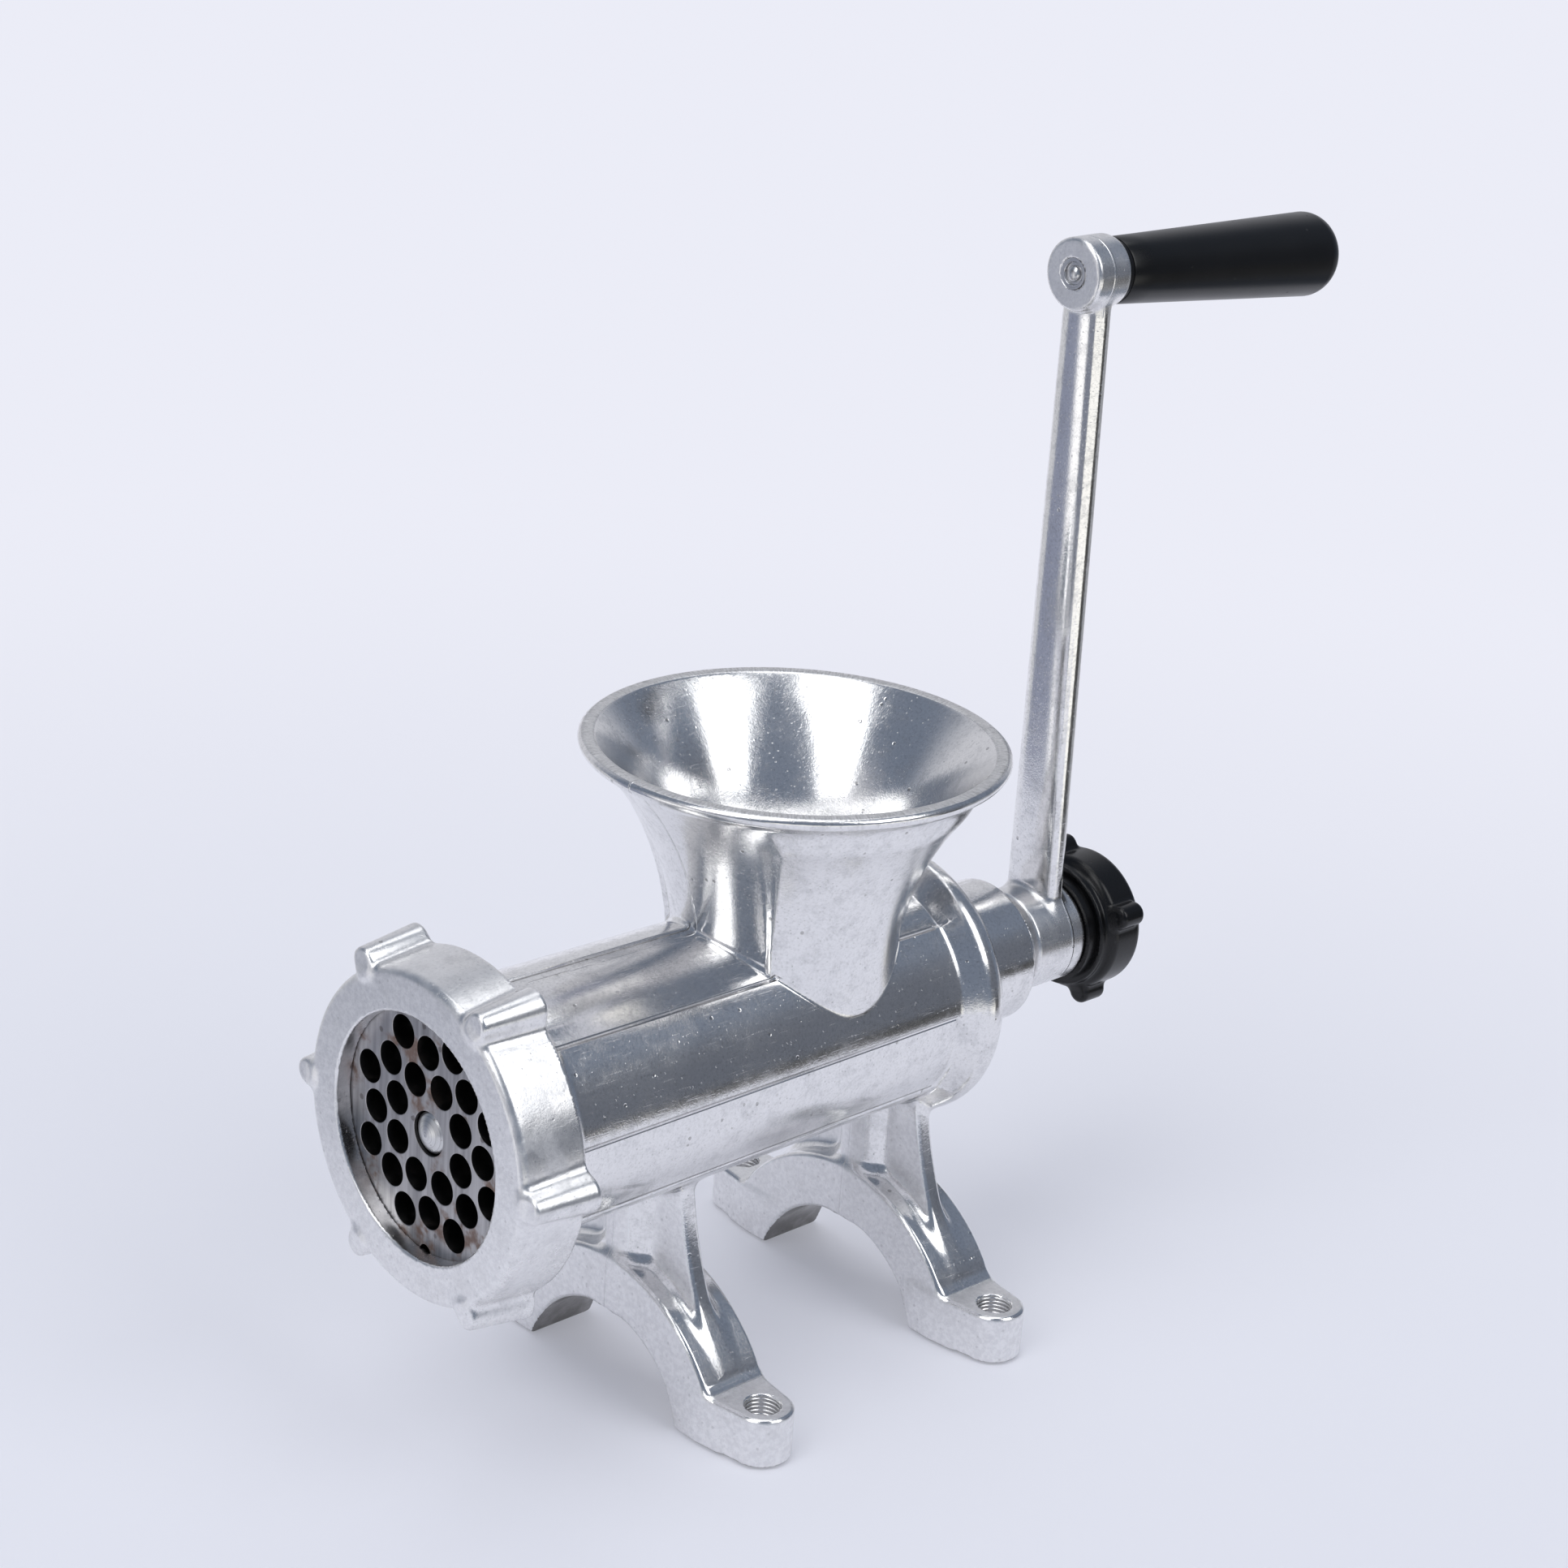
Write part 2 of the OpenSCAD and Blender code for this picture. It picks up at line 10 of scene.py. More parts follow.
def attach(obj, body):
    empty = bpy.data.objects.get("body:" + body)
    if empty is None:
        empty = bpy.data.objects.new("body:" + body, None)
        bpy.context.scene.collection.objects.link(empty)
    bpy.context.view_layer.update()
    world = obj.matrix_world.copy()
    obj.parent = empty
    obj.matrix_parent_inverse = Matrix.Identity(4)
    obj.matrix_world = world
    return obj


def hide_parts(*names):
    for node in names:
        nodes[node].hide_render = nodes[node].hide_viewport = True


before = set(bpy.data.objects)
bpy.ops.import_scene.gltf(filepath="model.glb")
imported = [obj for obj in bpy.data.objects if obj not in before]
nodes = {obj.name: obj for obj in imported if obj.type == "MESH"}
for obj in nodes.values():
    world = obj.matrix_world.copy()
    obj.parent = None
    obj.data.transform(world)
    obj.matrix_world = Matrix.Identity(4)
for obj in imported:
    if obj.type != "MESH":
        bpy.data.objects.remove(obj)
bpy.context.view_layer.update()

# Places and sizes in millimetres, turns in degrees, as in the part's source
MM = 0.001
AXIS = 88.7
HOPPER_Y = 2.0
BOLT = (49.6, 41.3)
CRANK_R = 185.5

# Round bars on the barrel axis: radius, start, end, rounding of the edges
MOUTH = (37.8, -105.5, -95.5, 0.8)
FLANGE = (36.2, 41.3, 51.5, 4.9)
NECK = (19.7, 45, 78.7, 0.7)
BORE = (26.8, -108, 40, 0.5)
PLATE_SEAT = (35.1, -110, -96, 0.3)
SHAFT_BORE = (11.06, 38, 82, 0.3)
HUB = (14.4, 85.8, 104.6, 1.3)
HUB_COLLAR = (12.2, 79.9, 90, 0.5)
KNOB_FOOT = (17.4, 107.6, 112, 0.6)

# Barrel and the raised bands along it
BARREL_R = 31.7
BARREL_MID = -26
BARREL_HALF = 74
BARREL_ROUND = 1
TAPER_START = -96
TAPER_RUN = 141
BAND_TURN = 27.5
BAND_PITCH = 90
BAND_HALF = 22.5
BAND_LIP = 0.3
BAND_RISE = 0.6
BAND_EDGE = 0.7
BAND_FADE = 4.5
MOUTH_SLOPE = (6, 1.2)
FLANGE_SLOPE = (2.4, 0.9)
NECK_FILLET = 5

# Hopper: each flared wall has a radius at its foot and a radius of its curve
FLARE_Z = 107
FLARE_LIMIT = 0.85
HOPPER_WALL = (28.4, 77.7)
HOPPER_PAD = (29.6, 74)
HOPPER_BOWL = (24.8, 79.85)
HOPPER_TOP = 164
HOPPER_TOP_ROUND = 1.5
HOPPER_FILLET = 2
PAD_HALF_TURN = 50
PAD_EDGE = 1.8
PAD_EDGE_GROWTH = 0.2
PAD_EDGE_FROM = 122
PAD_EDGE_RUN = 32
PAD_TOP = 156
PAD_TOP_FADE = 9.0
PAD_FILLET_LESS = 1.5
RIM_R = 53.7
RIM_Z = 164.1
RIM_HALF = 1.4
RIM_ROUND = 0.9
RIM_FILLET = 3

# Feet: arch, bolt pads, pillar and web
ARCH_DROP = 9
ARCH_OUT_R = 45.5
ARCH_IN_R = 30.3
ARCH_ROUND = 1.3
FOOT_HALF = 9.75
FOOT_TAPER = 0.135
FOOT_TAPER_FROM = 36.5
FOOT_PAD_FROM = 30
FOOT_PAD_HALF = 7.1
FOOT_PAD_ROUND = 1.2
FOOT_PAD_FILLET = 2.5
FOOT_BOTTOM_ROUND = 1.5
FOOT_FILLET = 3
PILLAR_R = 8.5
PILLAR_Z = 42
PILLAR_HALF = 22
PILLAR_FILLET = 4
WEB_CURVE_R = 106
WEB_CURVE_X = 122.8
WEB_CURVE_Z = 75.4
WEB_HALF = 2.5
WEB_ROUND = 1.3
WEB_Z = 48
WEB_HALF_HEIGHT = 28
WEB_FILLET = 3
BOLT_R = 4.5

# Softness of the edges of the holes in the body
BOWL_EDGE = 0.6
BORE_EDGE = 0.8
HOLE_EDGE = 0.5

# Ring nut; flare is what a size gains from the front to the back
RING_FRONT = -114.1
RING_BACK = -96.6
RING_LEN = 17.5
RING_R = 41.6
RING_FLARE = 1.8
RING_FRONT_ROUND = 2.0
RING_BACK_ROUND = 0.8
RING_SEAT_R = 37.88
LUG_PITCH = 60
LUG_PLACE_R = 43.5
LUG_PLACE_FLARE = 0.8
LUG_R = 3.4
LUG_FLARE = 1.4
LUG_ROUND = 0.9
LUG_FILLET = 3.2
OUTLET_R = 31
OUTLET_EDGE = 0.6
PLATE_FRONT = -109.5

# Crank arm, an oval that turns from squarish at the hub to round at the boss
ARM_Y = 97.6
ARM_LEAN = 0.8
ARM_MID = 92.7
ARM_HALF = 8.5
ARM_NARROWS = 2.7
ARM_SPARE = 0.3
ARM_SPARE_GAIN = 0.8
ARM_SQUARE = 3.2
ARM_SOFTENS = 0.9
ARM_THICK = 3.6
ARM_THICK_GAIN = 0.6
HUB_FILLET = 1.8
BOSS_Y = 94.55
BOSS_R = 9.5
BOSS_HALF = 6.15
BOSS_ROUND = 1.1
BOSS_FILLET = 1.3
SQUARE_HALF = 7.55
GRIP_DROOP = 2.5
PIN_R = 4.0
PIN_HOLE_EDGE = 0.4

# Clamp knob
KNOB_R = 19.4
KNOB_START = 110.2
KNOB_END = 122.2
KNOB_ROUND = 2.4
KNOB_FOOT_FILLET = 1.0
LOBE_TURN = 22
LOBE_PITCH = 90
LOBE_PLACE_R = 20.3
LOBE_R = 3.3
LOBE_START = 110.9
LOBE_END = 119.4
LOBE_ROUND = 1.4
LOBE_FILLET = 1.8
DISH_R = 14.0
DISH_Y = 135.4
DISH_EDGE = 1.5
SCREW_R = 4.0
SCREW_END = 116.6

# Grip: radii, and places along the spindle from the middle of the boss
GRIP_BORE = 4.06
GRIP_START = 8.02
GRIP_FACE_R = 8.1
GRIP_EDGE = (8.55, 8.2)
GRIP_THIN = (8.7, 8.6)
GRIP_SWELL = 2.75
GRIP_TAPER = 77.2
GRIP_TAPER_STEPS = (0.1, 0.25, 0.4, 0.55, 0.7, 0.85, 1.0)
GRIP_END_CENTRE = (4.85, 85.85)
GRIP_END_ROUND = 6.6
GRIP_END_SWEEP = (2, 70)
GRIP_END_STEPS = 12
GRIP_LIP = [(6.8, 92.0), (6.55, 91.7)]
RECESS_R = 6.46
RECESS_TOP = 91.2
RECESS_FLOOR = 86.5
RECESS_MIDDLE = 86.4
GRIP_SIDES = 96

# Spindle: riveted end with a groove round it, and the head in the grip's recess
RIVET_TOP = -6.9
RIVET_R = 2.1
RIVET_FLATNESS = 0.6
RIVET_TURNS = (15, 30, 45, 60, 75, 90)
GROOVE = [(2.15, -5.4), (2.8, -5.4), (2.95, -6.0), (3.1, -6.15)]
PIN_FACE = -6.15
HEAD_START = 86.45
HEAD_NECK_R = 6.2
HEAD_RIM = [(6.4, 86.65), (6.4, 88.6), (6.0, 89.2)]
HEAD_TOP = 89.45
HEAD_FLAT_R = 3.0
PIN_SIDES = 64

# Grinding plate; each ring of holes has a radius and a turn
PLATE_Y = -105.5
PLATE_R = 35
PLATE_HALF = 3.75
PLATE_EDGE = 0.25
NOTCH_HALF = 2.1
NOTCH_END_R = 31.9
HOLE_R = 4.2
HOLE_RINGS = ((13.3, 25.6), (20.7, 3.1), (25.0, 25.6))
HOLE_COUNT = 8
STUD_HOLE_R = 5.6
RIM_SIDES = 180
NOTCH_SIDES = 12
HOLE_SIDES = 40
STUD_HOLE_SIDES = 48


# Distance fields: each takes points (n, 3) in millimetres, negative inside
def smin(a, b, k):
    """What is inside a or b, with a fillet about as wide as k where they meet."""
    h = np.maximum(k - np.abs(a - b), 0) / k
    return np.minimum(a, b) - h * h * k * 0.25


def smax(a, b, k):
    """What is inside both a and b, with an edge softened by k."""
    return -smin(-a, -b, k)


def rounded(a, b, r):
    """What is inside both a and b, with the edge between them rounded."""
    return np.hypot(np.maximum(a + r, 0), np.maximum(b + r, 0)) + np.minimum(np.maximum(a, b) + r, 0) - r


def bevel(a, b, width, soft):
    """Joins a and b with a sloping strip that is that wide on each of them."""
    return smin(np.minimum(a, b), (a + b - width) * math.sqrt(0.5), soft)


def step(d, width):
    """1 where d is negative, 0 where it is positive, with a soft change of that width."""
    t = np.clip(0.5 - d / width, 0, 1)
    return t * t * (3 - 2 * t)


def bar(p, r, y0, y1, edge):
    """Round bar on the barrel axis."""
    rho = np.hypot(p[:, 0], p[:, 2] - AXIS)
    return rounded(rho - r, np.abs(p[:, 1] - (y0 + y1) / 2) - (y1 - y0) / 2, edge)


def flared(z, foot, curve):
    """Radius of a wall that stands upright at its foot and then curves outwards, and its steepness."""
    dz = np.clip(z - FLARE_Z, 0, curve * FLARE_LIMIT)
    root = np.sqrt(curve * curve - dz * dz)
    return foot + curve - root, np.sqrt(1 + (dz / root) ** 2)


def within(degrees, pitch):
    """Turns brought into one pitch of a pattern that repeats, with 0 in its middle."""
    return (degrees + pitch / 2) % pitch - pitch / 2


def body_field(p):
    """Body: the barrel with its bands, then the hopper, the feet and the holes."""
    x, y, z = p[:, 0], p[:, 1], p[:, 2]
    ax = np.abs(x)
    up = z - AXIS
    rho = np.hypot(x, up)
    turn = within(np.degrees(np.arctan2(up, x)) - BAND_TURN, BAND_PITCH)
    past = (np.abs(turn) - BAND_HALF) * math.pi / 180 * rho
    lift = (BAND_LIP * step(past, BAND_EDGE)
            + BAND_RISE * np.clip(1 - past / BAND_FADE, 0, 1) ** 2 * (past > 0)
            + BAND_RISE * (past <= 0))
    shell = rounded(rho - BARREL_R + (y - TAPER_START) / TAPER_RUN - lift,
                    np.abs(y - BARREL_MID) - BARREL_HALF, BARREL_ROUND)
    shell = bevel(shell, bar(p, *MOUTH), *MOUTH_SLOPE)
    shell = bevel(shell, bar(p, *FLANGE), *FLANGE_SLOPE)
    shell = smin(shell, bar(p, *NECK), NECK_FILLET)

    hy = y - HOPPER_Y
    hr = np.hypot(x, hy)
    wall, steep = flared(z, *HOPPER_WALL)
    pad, _ = flared(z, *HOPPER_PAD)
    side = np.abs(np.degrees(np.arctan2(hy, ax))) - PAD_HALF_TURN
    edge = PAD_EDGE + PAD_EDGE_GROWTH * np.clip(z - PAD_EDGE_FROM, 0, PAD_EDGE_RUN)
    beside = step(side * math.pi / 180 * hr, edge)
    on_pad = beside * step(z - PAD_TOP, PAD_TOP_FADE)
    hopper = (hr - wall - (pad - wall) * on_pad) / steep
    hopper = np.maximum(smax(hopper, z - HOPPER_TOP, HOPPER_TOP_ROUND), AXIS - z)
    rim = rounded(hr - RIM_R, np.abs(z - RIM_Z) - RIM_HALF, RIM_ROUND)
    shell = smin(shell, smin(hopper, rim, RIM_FILLET), HOPPER_FILLET - PAD_FILLET_LESS * beside)

    fy = np.abs(y) - BOLT[1]
    arch_r = np.hypot(x, z + ARCH_DROP)
    half = FOOT_HALF - FOOT_TAPER * np.clip(ax - FOOT_TAPER_FROM, 0, BOLT[0] - FOOT_TAPER_FROM)
    depth = np.abs(fy) - half
    arch = rounded(np.maximum(arch_r - ARCH_OUT_R, ARCH_IN_R - arch_r), depth, ARCH_ROUND)
    reach = np.hypot(ax - np.clip(ax, FOOT_PAD_FROM, BOLT[0]), fy) - half
    pads = rounded(reach, np.abs(z - FOOT_PAD_HALF) - FOOT_PAD_HALF, FOOT_PAD_ROUND)
    foot = smin(arch, pads, FOOT_PAD_FILLET)
    foot = rounded(foot, -z, FOOT_BOTTOM_ROUND)
    pillar = np.maximum(np.hypot(x, fy) - PILLAR_R, np.abs(z - PILLAR_Z) - PILLAR_HALF)
    web = rounded(WEB_CURVE_R - np.hypot(ax - WEB_CURVE_X, z - WEB_CURVE_Z), np.abs(fy) - WEB_HALF, WEB_ROUND)
    web = np.maximum(web, np.abs(z - WEB_Z) - WEB_HALF_HEIGHT)
    foot = smin(foot, smin(pillar, web, WEB_FILLET), PILLAR_FILLET)
    foot = np.maximum(foot, ARCH_IN_R - arch_r)
    shell = smin(shell, foot, FOOT_FILLET)

    bowl, steep = flared(z, *HOPPER_BOWL)
    shell = smax(shell, -np.maximum((hr - bowl) / steep, AXIS - z), BOWL_EDGE)
    shell = smax(shell, -bar(p, *BORE), BORE_EDGE)
    shell = smax(shell, -bar(p, *PLATE_SEAT), HOLE_EDGE)
    shell = smax(shell, -bar(p, *SHAFT_BORE), HOLE_EDGE)
    return smax(shell, BOLT_R - np.hypot(ax - BOLT[0], np.abs(y) - BOLT[1]), HOLE_EDGE)


def ring_field(p):
    """Ring nut with lugs round it, open at the front and stepped inside for the plate."""
    y = p[:, 1]
    back = (y - RING_FRONT) / RING_LEN
    rho = np.hypot(p[:, 0], p[:, 2] - AXIS)
    ring = rho - RING_R - RING_FLARE * back
    turn = np.radians(within(np.degrees(np.arctan2(p[:, 2] - AXIS, p[:, 0])), LUG_PITCH))
    place = rho * np.cos(turn) - LUG_PLACE_R - LUG_PLACE_FLARE * back
    lug = np.hypot(place, rho * np.sin(turn)) - LUG_R - LUG_FLARE * back
    ring = rounded(ring, RING_FRONT - y, RING_FRONT_ROUND)
    lug = rounded(lug, RING_FRONT - y, LUG_ROUND)
    ring = rounded(smin(ring, lug, LUG_FILLET), y - RING_BACK, RING_BACK_ROUND)
    ring = smax(ring, OUTLET_R - rho, OUTLET_EDGE)
    return np.maximum(ring, -np.maximum(rho - RING_SEAT_R, PLATE_FRONT - y))


def arm_field(p):
    """Crank arm with its hub and boss, a square hole in the hub and a round one in the boss."""
    x, y, z = p[:, 0], p[:, 1], p[:, 2]
    up = z - AXIS
    hub = np.minimum(bar(p, *HUB), bar(p, *HUB_COLLAR))
    lean = math.radians(ARM_LEAN)
    ay = (y - ARM_Y) * math.cos(lean) + up * math.sin(lean)
    half = ARM_HALF - ARM_NARROWS * up / CRANK_R
    reach = np.clip(up / CRANK_R, 0, 1)
    power = ARM_SQUARE - ARM_SOFTENS * reach
    thick = ARM_THICK + ARM_THICK_GAIN * reach
    wide = half + ARM_SPARE + ARM_SPARE_GAIN * reach
    oval = (np.abs(x) / wide) ** power + (np.abs(ay) / thick) ** power
    arm = (oval ** (1 / power) - 1) * thick
    arm = np.maximum(arm, np.abs(up - ARM_MID) - ARM_MID)
    boss = rounded(np.hypot(x, up - CRANK_R) - BOSS_R, np.abs(y - BOSS_Y) - BOSS_HALF, BOSS_ROUND)
    whole = smin(smin(hub, arm, HUB_FILLET), boss, BOSS_FILLET)
    whole = np.maximum(whole, SQUARE_HALF - np.maximum(np.abs(x), np.abs(up)))
    droop = math.radians(GRIP_DROOP)
    across = (up - CRANK_R) * math.cos(droop) + (y - BOSS_Y) * math.sin(droop)
    return smax(whole, PIN_R - np.hypot(x, across), PIN_HOLE_EDGE)


def knob_field(p):
    """Clamp knob with four lobes, a dished face and a hole for its screw."""
    y = p[:, 1]
    up = p[:, 2] - AXIS
    rho = np.hypot(p[:, 0], up)
    knob = rounded(rho - KNOB_R, np.maximum(y - KNOB_END, KNOB_START - y), KNOB_ROUND)
    turn = np.radians(within(np.degrees(np.arctan2(up, p[:, 0])) - LOBE_TURN, LOBE_PITCH))
    lobe = np.hypot(rho * np.cos(turn) - LOBE_PLACE_R, rho * np.sin(turn)) - LOBE_R
    lobe = rounded(lobe, np.maximum(y - LOBE_END, LOBE_START - y), LOBE_ROUND)
    knob = smin(knob, lobe, LOBE_FILLET)
    knob = smin(knob, bar(p, *KNOB_FOOT), KNOB_FOOT_FILLET)
    knob = smax(knob, DISH_R - np.hypot(rho, y - DISH_Y), DISH_EDGE)
    return np.maximum(knob, -np.maximum(rho - SCREW_R, y - SCREW_END))


def surface(field, low, high, cell):
    """Net of quads on the zero level of a field, worked out in blocks and finely only near that level."""
    block = 4
    near_cells = 5
    low = np.array(low, float) - 2 * cell
    blocks = np.ceil((np.array(high) + 2 * cell - low) / cell / block).astype(int)
    index = np.stack(np.meshgrid(*[np.arange(k) for k in blocks], indexing="ij"), -1).reshape(-1, 3)
    rough = field(low + (index * block + (block - 1) / 2) * cell)
    grid = rough.reshape(blocks)
    for axis in range(3):
        grid = np.repeat(grid, block, axis)
    near = index[np.abs(rough) < near_cells * cell]
    inner = np.stack(np.meshgrid(*[np.arange(block)] * 3, indexing="ij"), -1).reshape(-1, 3)
    spots = (near[:, None] * block + inner[None]).reshape(-1, 3)
    grid[tuple(spots.T)] = field(low + spots * cell)
    solid = grid < 0
    shape = tuple(k - 1 for k in grid.shape)
    corners = [(i, j, k) for i in (0, 1) for j in (0, 1) for k in (0, 1)]
    count = sum(solid[i:i + shape[0], j:j + shape[1], k:k + shape[2]].astype(int) for i, j, k in corners)
    cells = np.argwhere((count > 0) & (count < 8))
    number = np.full(shape, -1)
    number[tuple(cells.T)] = np.arange(len(cells))
    total, hits = np.zeros((len(cells), 3)), np.zeros(len(cells))
    for corner in corners:
        for axis in range(3):
            if corner[axis]:
                continue
            a = grid[tuple((cells + corner).T)]
            end = np.array(corner)
            end[axis] = 1
            b = grid[tuple((cells + end).T)]
            cross = (a < 0) != (b < 0)
            part = np.where(cross, a / np.where(cross, a - b, 1), 0)
            spot = np.tile(np.array(corner, float), (len(cells), 1))
            spot[:, axis] = part
            total[cross] += spot[cross]
            hits += cross
    points = low + (cells + total / hits[:, None]) * cell
    quads = []
    for axis in range(3):
        b, c = (axis + 1) % 3, (axis + 2) % 3
        first = np.take(solid, range(grid.shape[axis] - 1), axis)
        last = np.take(solid, range(1, grid.shape[axis]), axis)
        edges = np.argwhere(first != last)
        edges = edges[(edges[:, b] > 0) & (edges[:, c] > 0)
                      & (edges[:, b] < shape[b]) & (edges[:, c] < shape[c])]
        ring = []
        for db, dc in ((1, 1), (0, 1), (0, 0), (1, 0)):
            spot = edges.copy()
            spot[:, b] -= db
            spot[:, c] -= dc
            ring.append(number[tuple(spot.T)])
        ring = np.stack(ring, 1)
        out = ~first[tuple(edges.T)]
        ring[out] = ring[out][:, ::-1]
        quads.append(ring)
    return points, np.concatenate(quads)


def slope(field, points):
    """How a field grows along x, y and z at each point."""
    e = 0.04
    return np.stack([field(points + e * row) - field(points - e * row) for row in np.eye(3)], 1) / (2 * e)


def settle(field, points, rounds):
    """Moves points onto the zero level of a field in short steps."""
    least_slope, longest = 0.3, 0.5
    for _ in range(rounds):
        g = slope(field, points)
        off = field(points)
        stride = np.clip(off / np.maximum((g * g).sum(1), least_slope), -longest, longest)
        moved = points - stride[:, None] * g
        better = np.abs(field(moved)) < np.abs(off)
        points = np.where(better[:, None], moved, points)
    return points


def points_of(mesh):
    """Places of a mesh's corners, one row for each."""
    flat = np.zeros(len(mesh.vertices) * 3)
    mesh.vertices.foreach_get("co", flat)
    return flat.reshape(-1, 3)


def show(name, mesh, body, material, stands_for=()):
    """Puts a mesh in the scene as a piece that rides on a body."""
    piece = bpy.data.objects.new(name, mesh)
    bpy.context.scene.collection.objects.link(piece)
    mesh.materials.clear()
    mesh.materials.append(material)
    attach(piece, body)
    if stands_for:
        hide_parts(*stands_for)
    return piece


def cast_piece(name, field, low, high, cell, share, body, slot, material, stands_for):
    """A casting: the field's surface, thinned out where it is plain, with the field's own normals."""
    points, quads = surface(field, low, high, cell)
    points = settle(field, points, 2)
    full = bpy.data.meshes.new(name)
    full.from_pydata(points * MM, [], quads.tolist())
    trial = bpy.data.objects.new("trial", full)
    bpy.context.scene.collection.objects.link(trial)
    trial.modifiers.new("thin", "DECIMATE").ratio = share
    graph = bpy.context.evaluated_depsgraph_get()
    mesh = bpy.data.meshes.new_from_object(trial.evaluated_get(graph))
    bpy.data.objects.remove(trial)
    bpy.data.meshes.remove(full)
    mesh.name = name
    points = settle(field, points_of(mesh) / MM, 2)
    mesh.vertices.foreach_set("co", (points * MM).ravel())
    mesh.update()
    mesh.shade_smooth()
    normals = slope(field, points)
    normals /= np.maximum(np.linalg.norm(normals, axis=1), 1e-6)[:, None]
    mesh.normals_split_custom_set_from_vertices(normals.tolist())
    return show(name, mesh, body, material, stands_for)


class Shader:
    """Builds the nodes of one material. Places are in metres in the part's frame."""

    def __init__(self, name):
        self.material = bpy.data.materials.new(name)
        self.material.use_nodes = True
        self.tree = self.material.node_tree
        self.bsdf = self.tree.nodes["Principled BSDF"]
        self.spot = self.node("ShaderNodeTexCoord").outputs["Object"]
        self.x, self.y, self.z = self.split(self.spot)
        self.nx, self.ny, self.nz = self.split(self.node("ShaderNodeTexCoord").outputs["Normal"])

    def put(self, socket, value):
        if isinstance(value, bpy.types.NodeSocket):
            self.tree.links.new(value, socket)
        else:
            socket.default_value = value

    def node(self, kind, inputs=(), **settings):
        made = self.tree.nodes.new(kind)
        for key, value in settings.items():
            setattr(made, key, value)
        for key, value in dict(inputs).items():
            self.put(made.inputs[key], value)
        return made

    def split(self, vector):
        return self.node("ShaderNodeSeparateXYZ", {0: vector}).outputs

    def math(self, how, a, b=0.0):
        return self.node("ShaderNodeMath", {0: a, 1: b}, operation=how).outputs[0]

    def sum(self, *parts):
        total = parts[0]
        for part in parts[1:]:
            total = self.math("ADD", total, part)
        return total

    def times(self, *parts):
        total = parts[0]
        for part in parts[1:]:
            total = self.math("MULTIPLY", total, part)
        return total

    def ramp(self, value, low, high, start=0.0, end=1.0):
        return self.node("ShaderNodeMapRange", {"Value": value, "From Min": low, "From Max": high,
                                                "To Min": start, "To Max": end},
                         interpolation_type="SMOOTHSTEP").outputs["Result"]

    def radius(self, a, b, a0=0.0, b0=0.0):
        da, db = self.math("SUBTRACT", a, a0), self.math("SUBTRACT", b, b0)
        return self.math("SQRT", self.sum(self.times(da, da), self.times(db, db)))

    def stretched(self, scale, turn=(0, 0, 0)):
        settings = {"Vector": self.spot, "Scale": scale, "Rotation": turn}
        return self.node("ShaderNodeMapping", settings).outputs[0]

    def noise(self, scale, detail=2.0, rough=0.5, vector=None):
        settings = {"Vector": vector or self.spot, "Scale": scale, "Detail": detail, "Roughness": rough}
        return self.node("ShaderNodeTexNoise", settings).outputs["Fac"]

    def specks(self, scale, size, share):
        """1 in small round spots, 0 between them."""
        made = self.node("ShaderNodeTexVoronoi", {"Vector": self.spot, "Scale": scale})
        some = self.ramp(self.split(made.outputs["Color"])[0], share, share + 0.02, 1, 0)
        return self.times(self.ramp(made.outputs["Distance"], size * 0.6, size, 1, 0), some)

    def scratches(self, turn, rare=0.7):
        """1 along thin straight marks that all run about the same way."""
        lines = self.noise(1, 0, 0.5, self.stretched((2200, 150, 2200), turn))
        return self.ramp(lines, rare, rare + 0.08)

    def mix(self, share, a, b):
        made = self.node("ShaderNodeMix", data_type="RGBA")
        for key, value in ((0, share), (6, a), (7, b)):
            plain = isinstance(value, (float, bpy.types.NodeSocket))
            self.put(made.inputs[key], value if plain else (*value, 1))
        return made.outputs[2]

    def blend(self, share, a, b):
        return self.node("ShaderNodeMix", {0: share, 2: a, 3: b}).outputs[0]

    def bumps(self, *layers):
        """Layers of (height from 0 to 1, its depth in millimetres)."""
        normal = None
        for height, depth in layers:
            made = self.node("ShaderNodeBump", {"Height": height, "Distance": depth * MM, "Strength": 1.0})
            if normal:
                self.put(made.inputs["Normal"], normal)
            normal = made.outputs["Normal"]
        self.put(self.bsdf.inputs["Normal"], normal)

    def finish(self, colour, rough, metal):
        self.put(self.bsdf.inputs["Base Color"], colour)
        self.put(self.bsdf.inputs["Roughness"], rough)
        self.bsdf.inputs["Metallic"].default_value = metal
        return self.material


# Tones of the aluminium, buffed and as cast
ALU_SHADE = (0.80, 0.795, 0.795)
ALU_PLAIN = (0.93, 0.92, 0.91)
ALU_MOTTLE = (0.56, 0.56, 0.57)
ALU_SPECK_DARK = (0.5, 0.5, 0.505)
ALU_SPECK_LIGHT = (0.97, 0.965, 0.96)
ALU_PIT = (0.28, 0.27, 0.265)
SAND_DARK = (0.82, 0.815, 0.82)
SAND_LIGHT = (0.95, 0.945, 0.945)
SAND_SPECK = (0.4, 0.395, 0.39)
SAND_STAIN = (0.7, 0.69, 0.685)
TOOL_MARK = (0.33, 0.325, 0.32)
# Tone of the painted shade along the bottom edge of the feet and inside the arches
PAINTED_SHADE_TONE = (0.17, 0.165, 0.16)

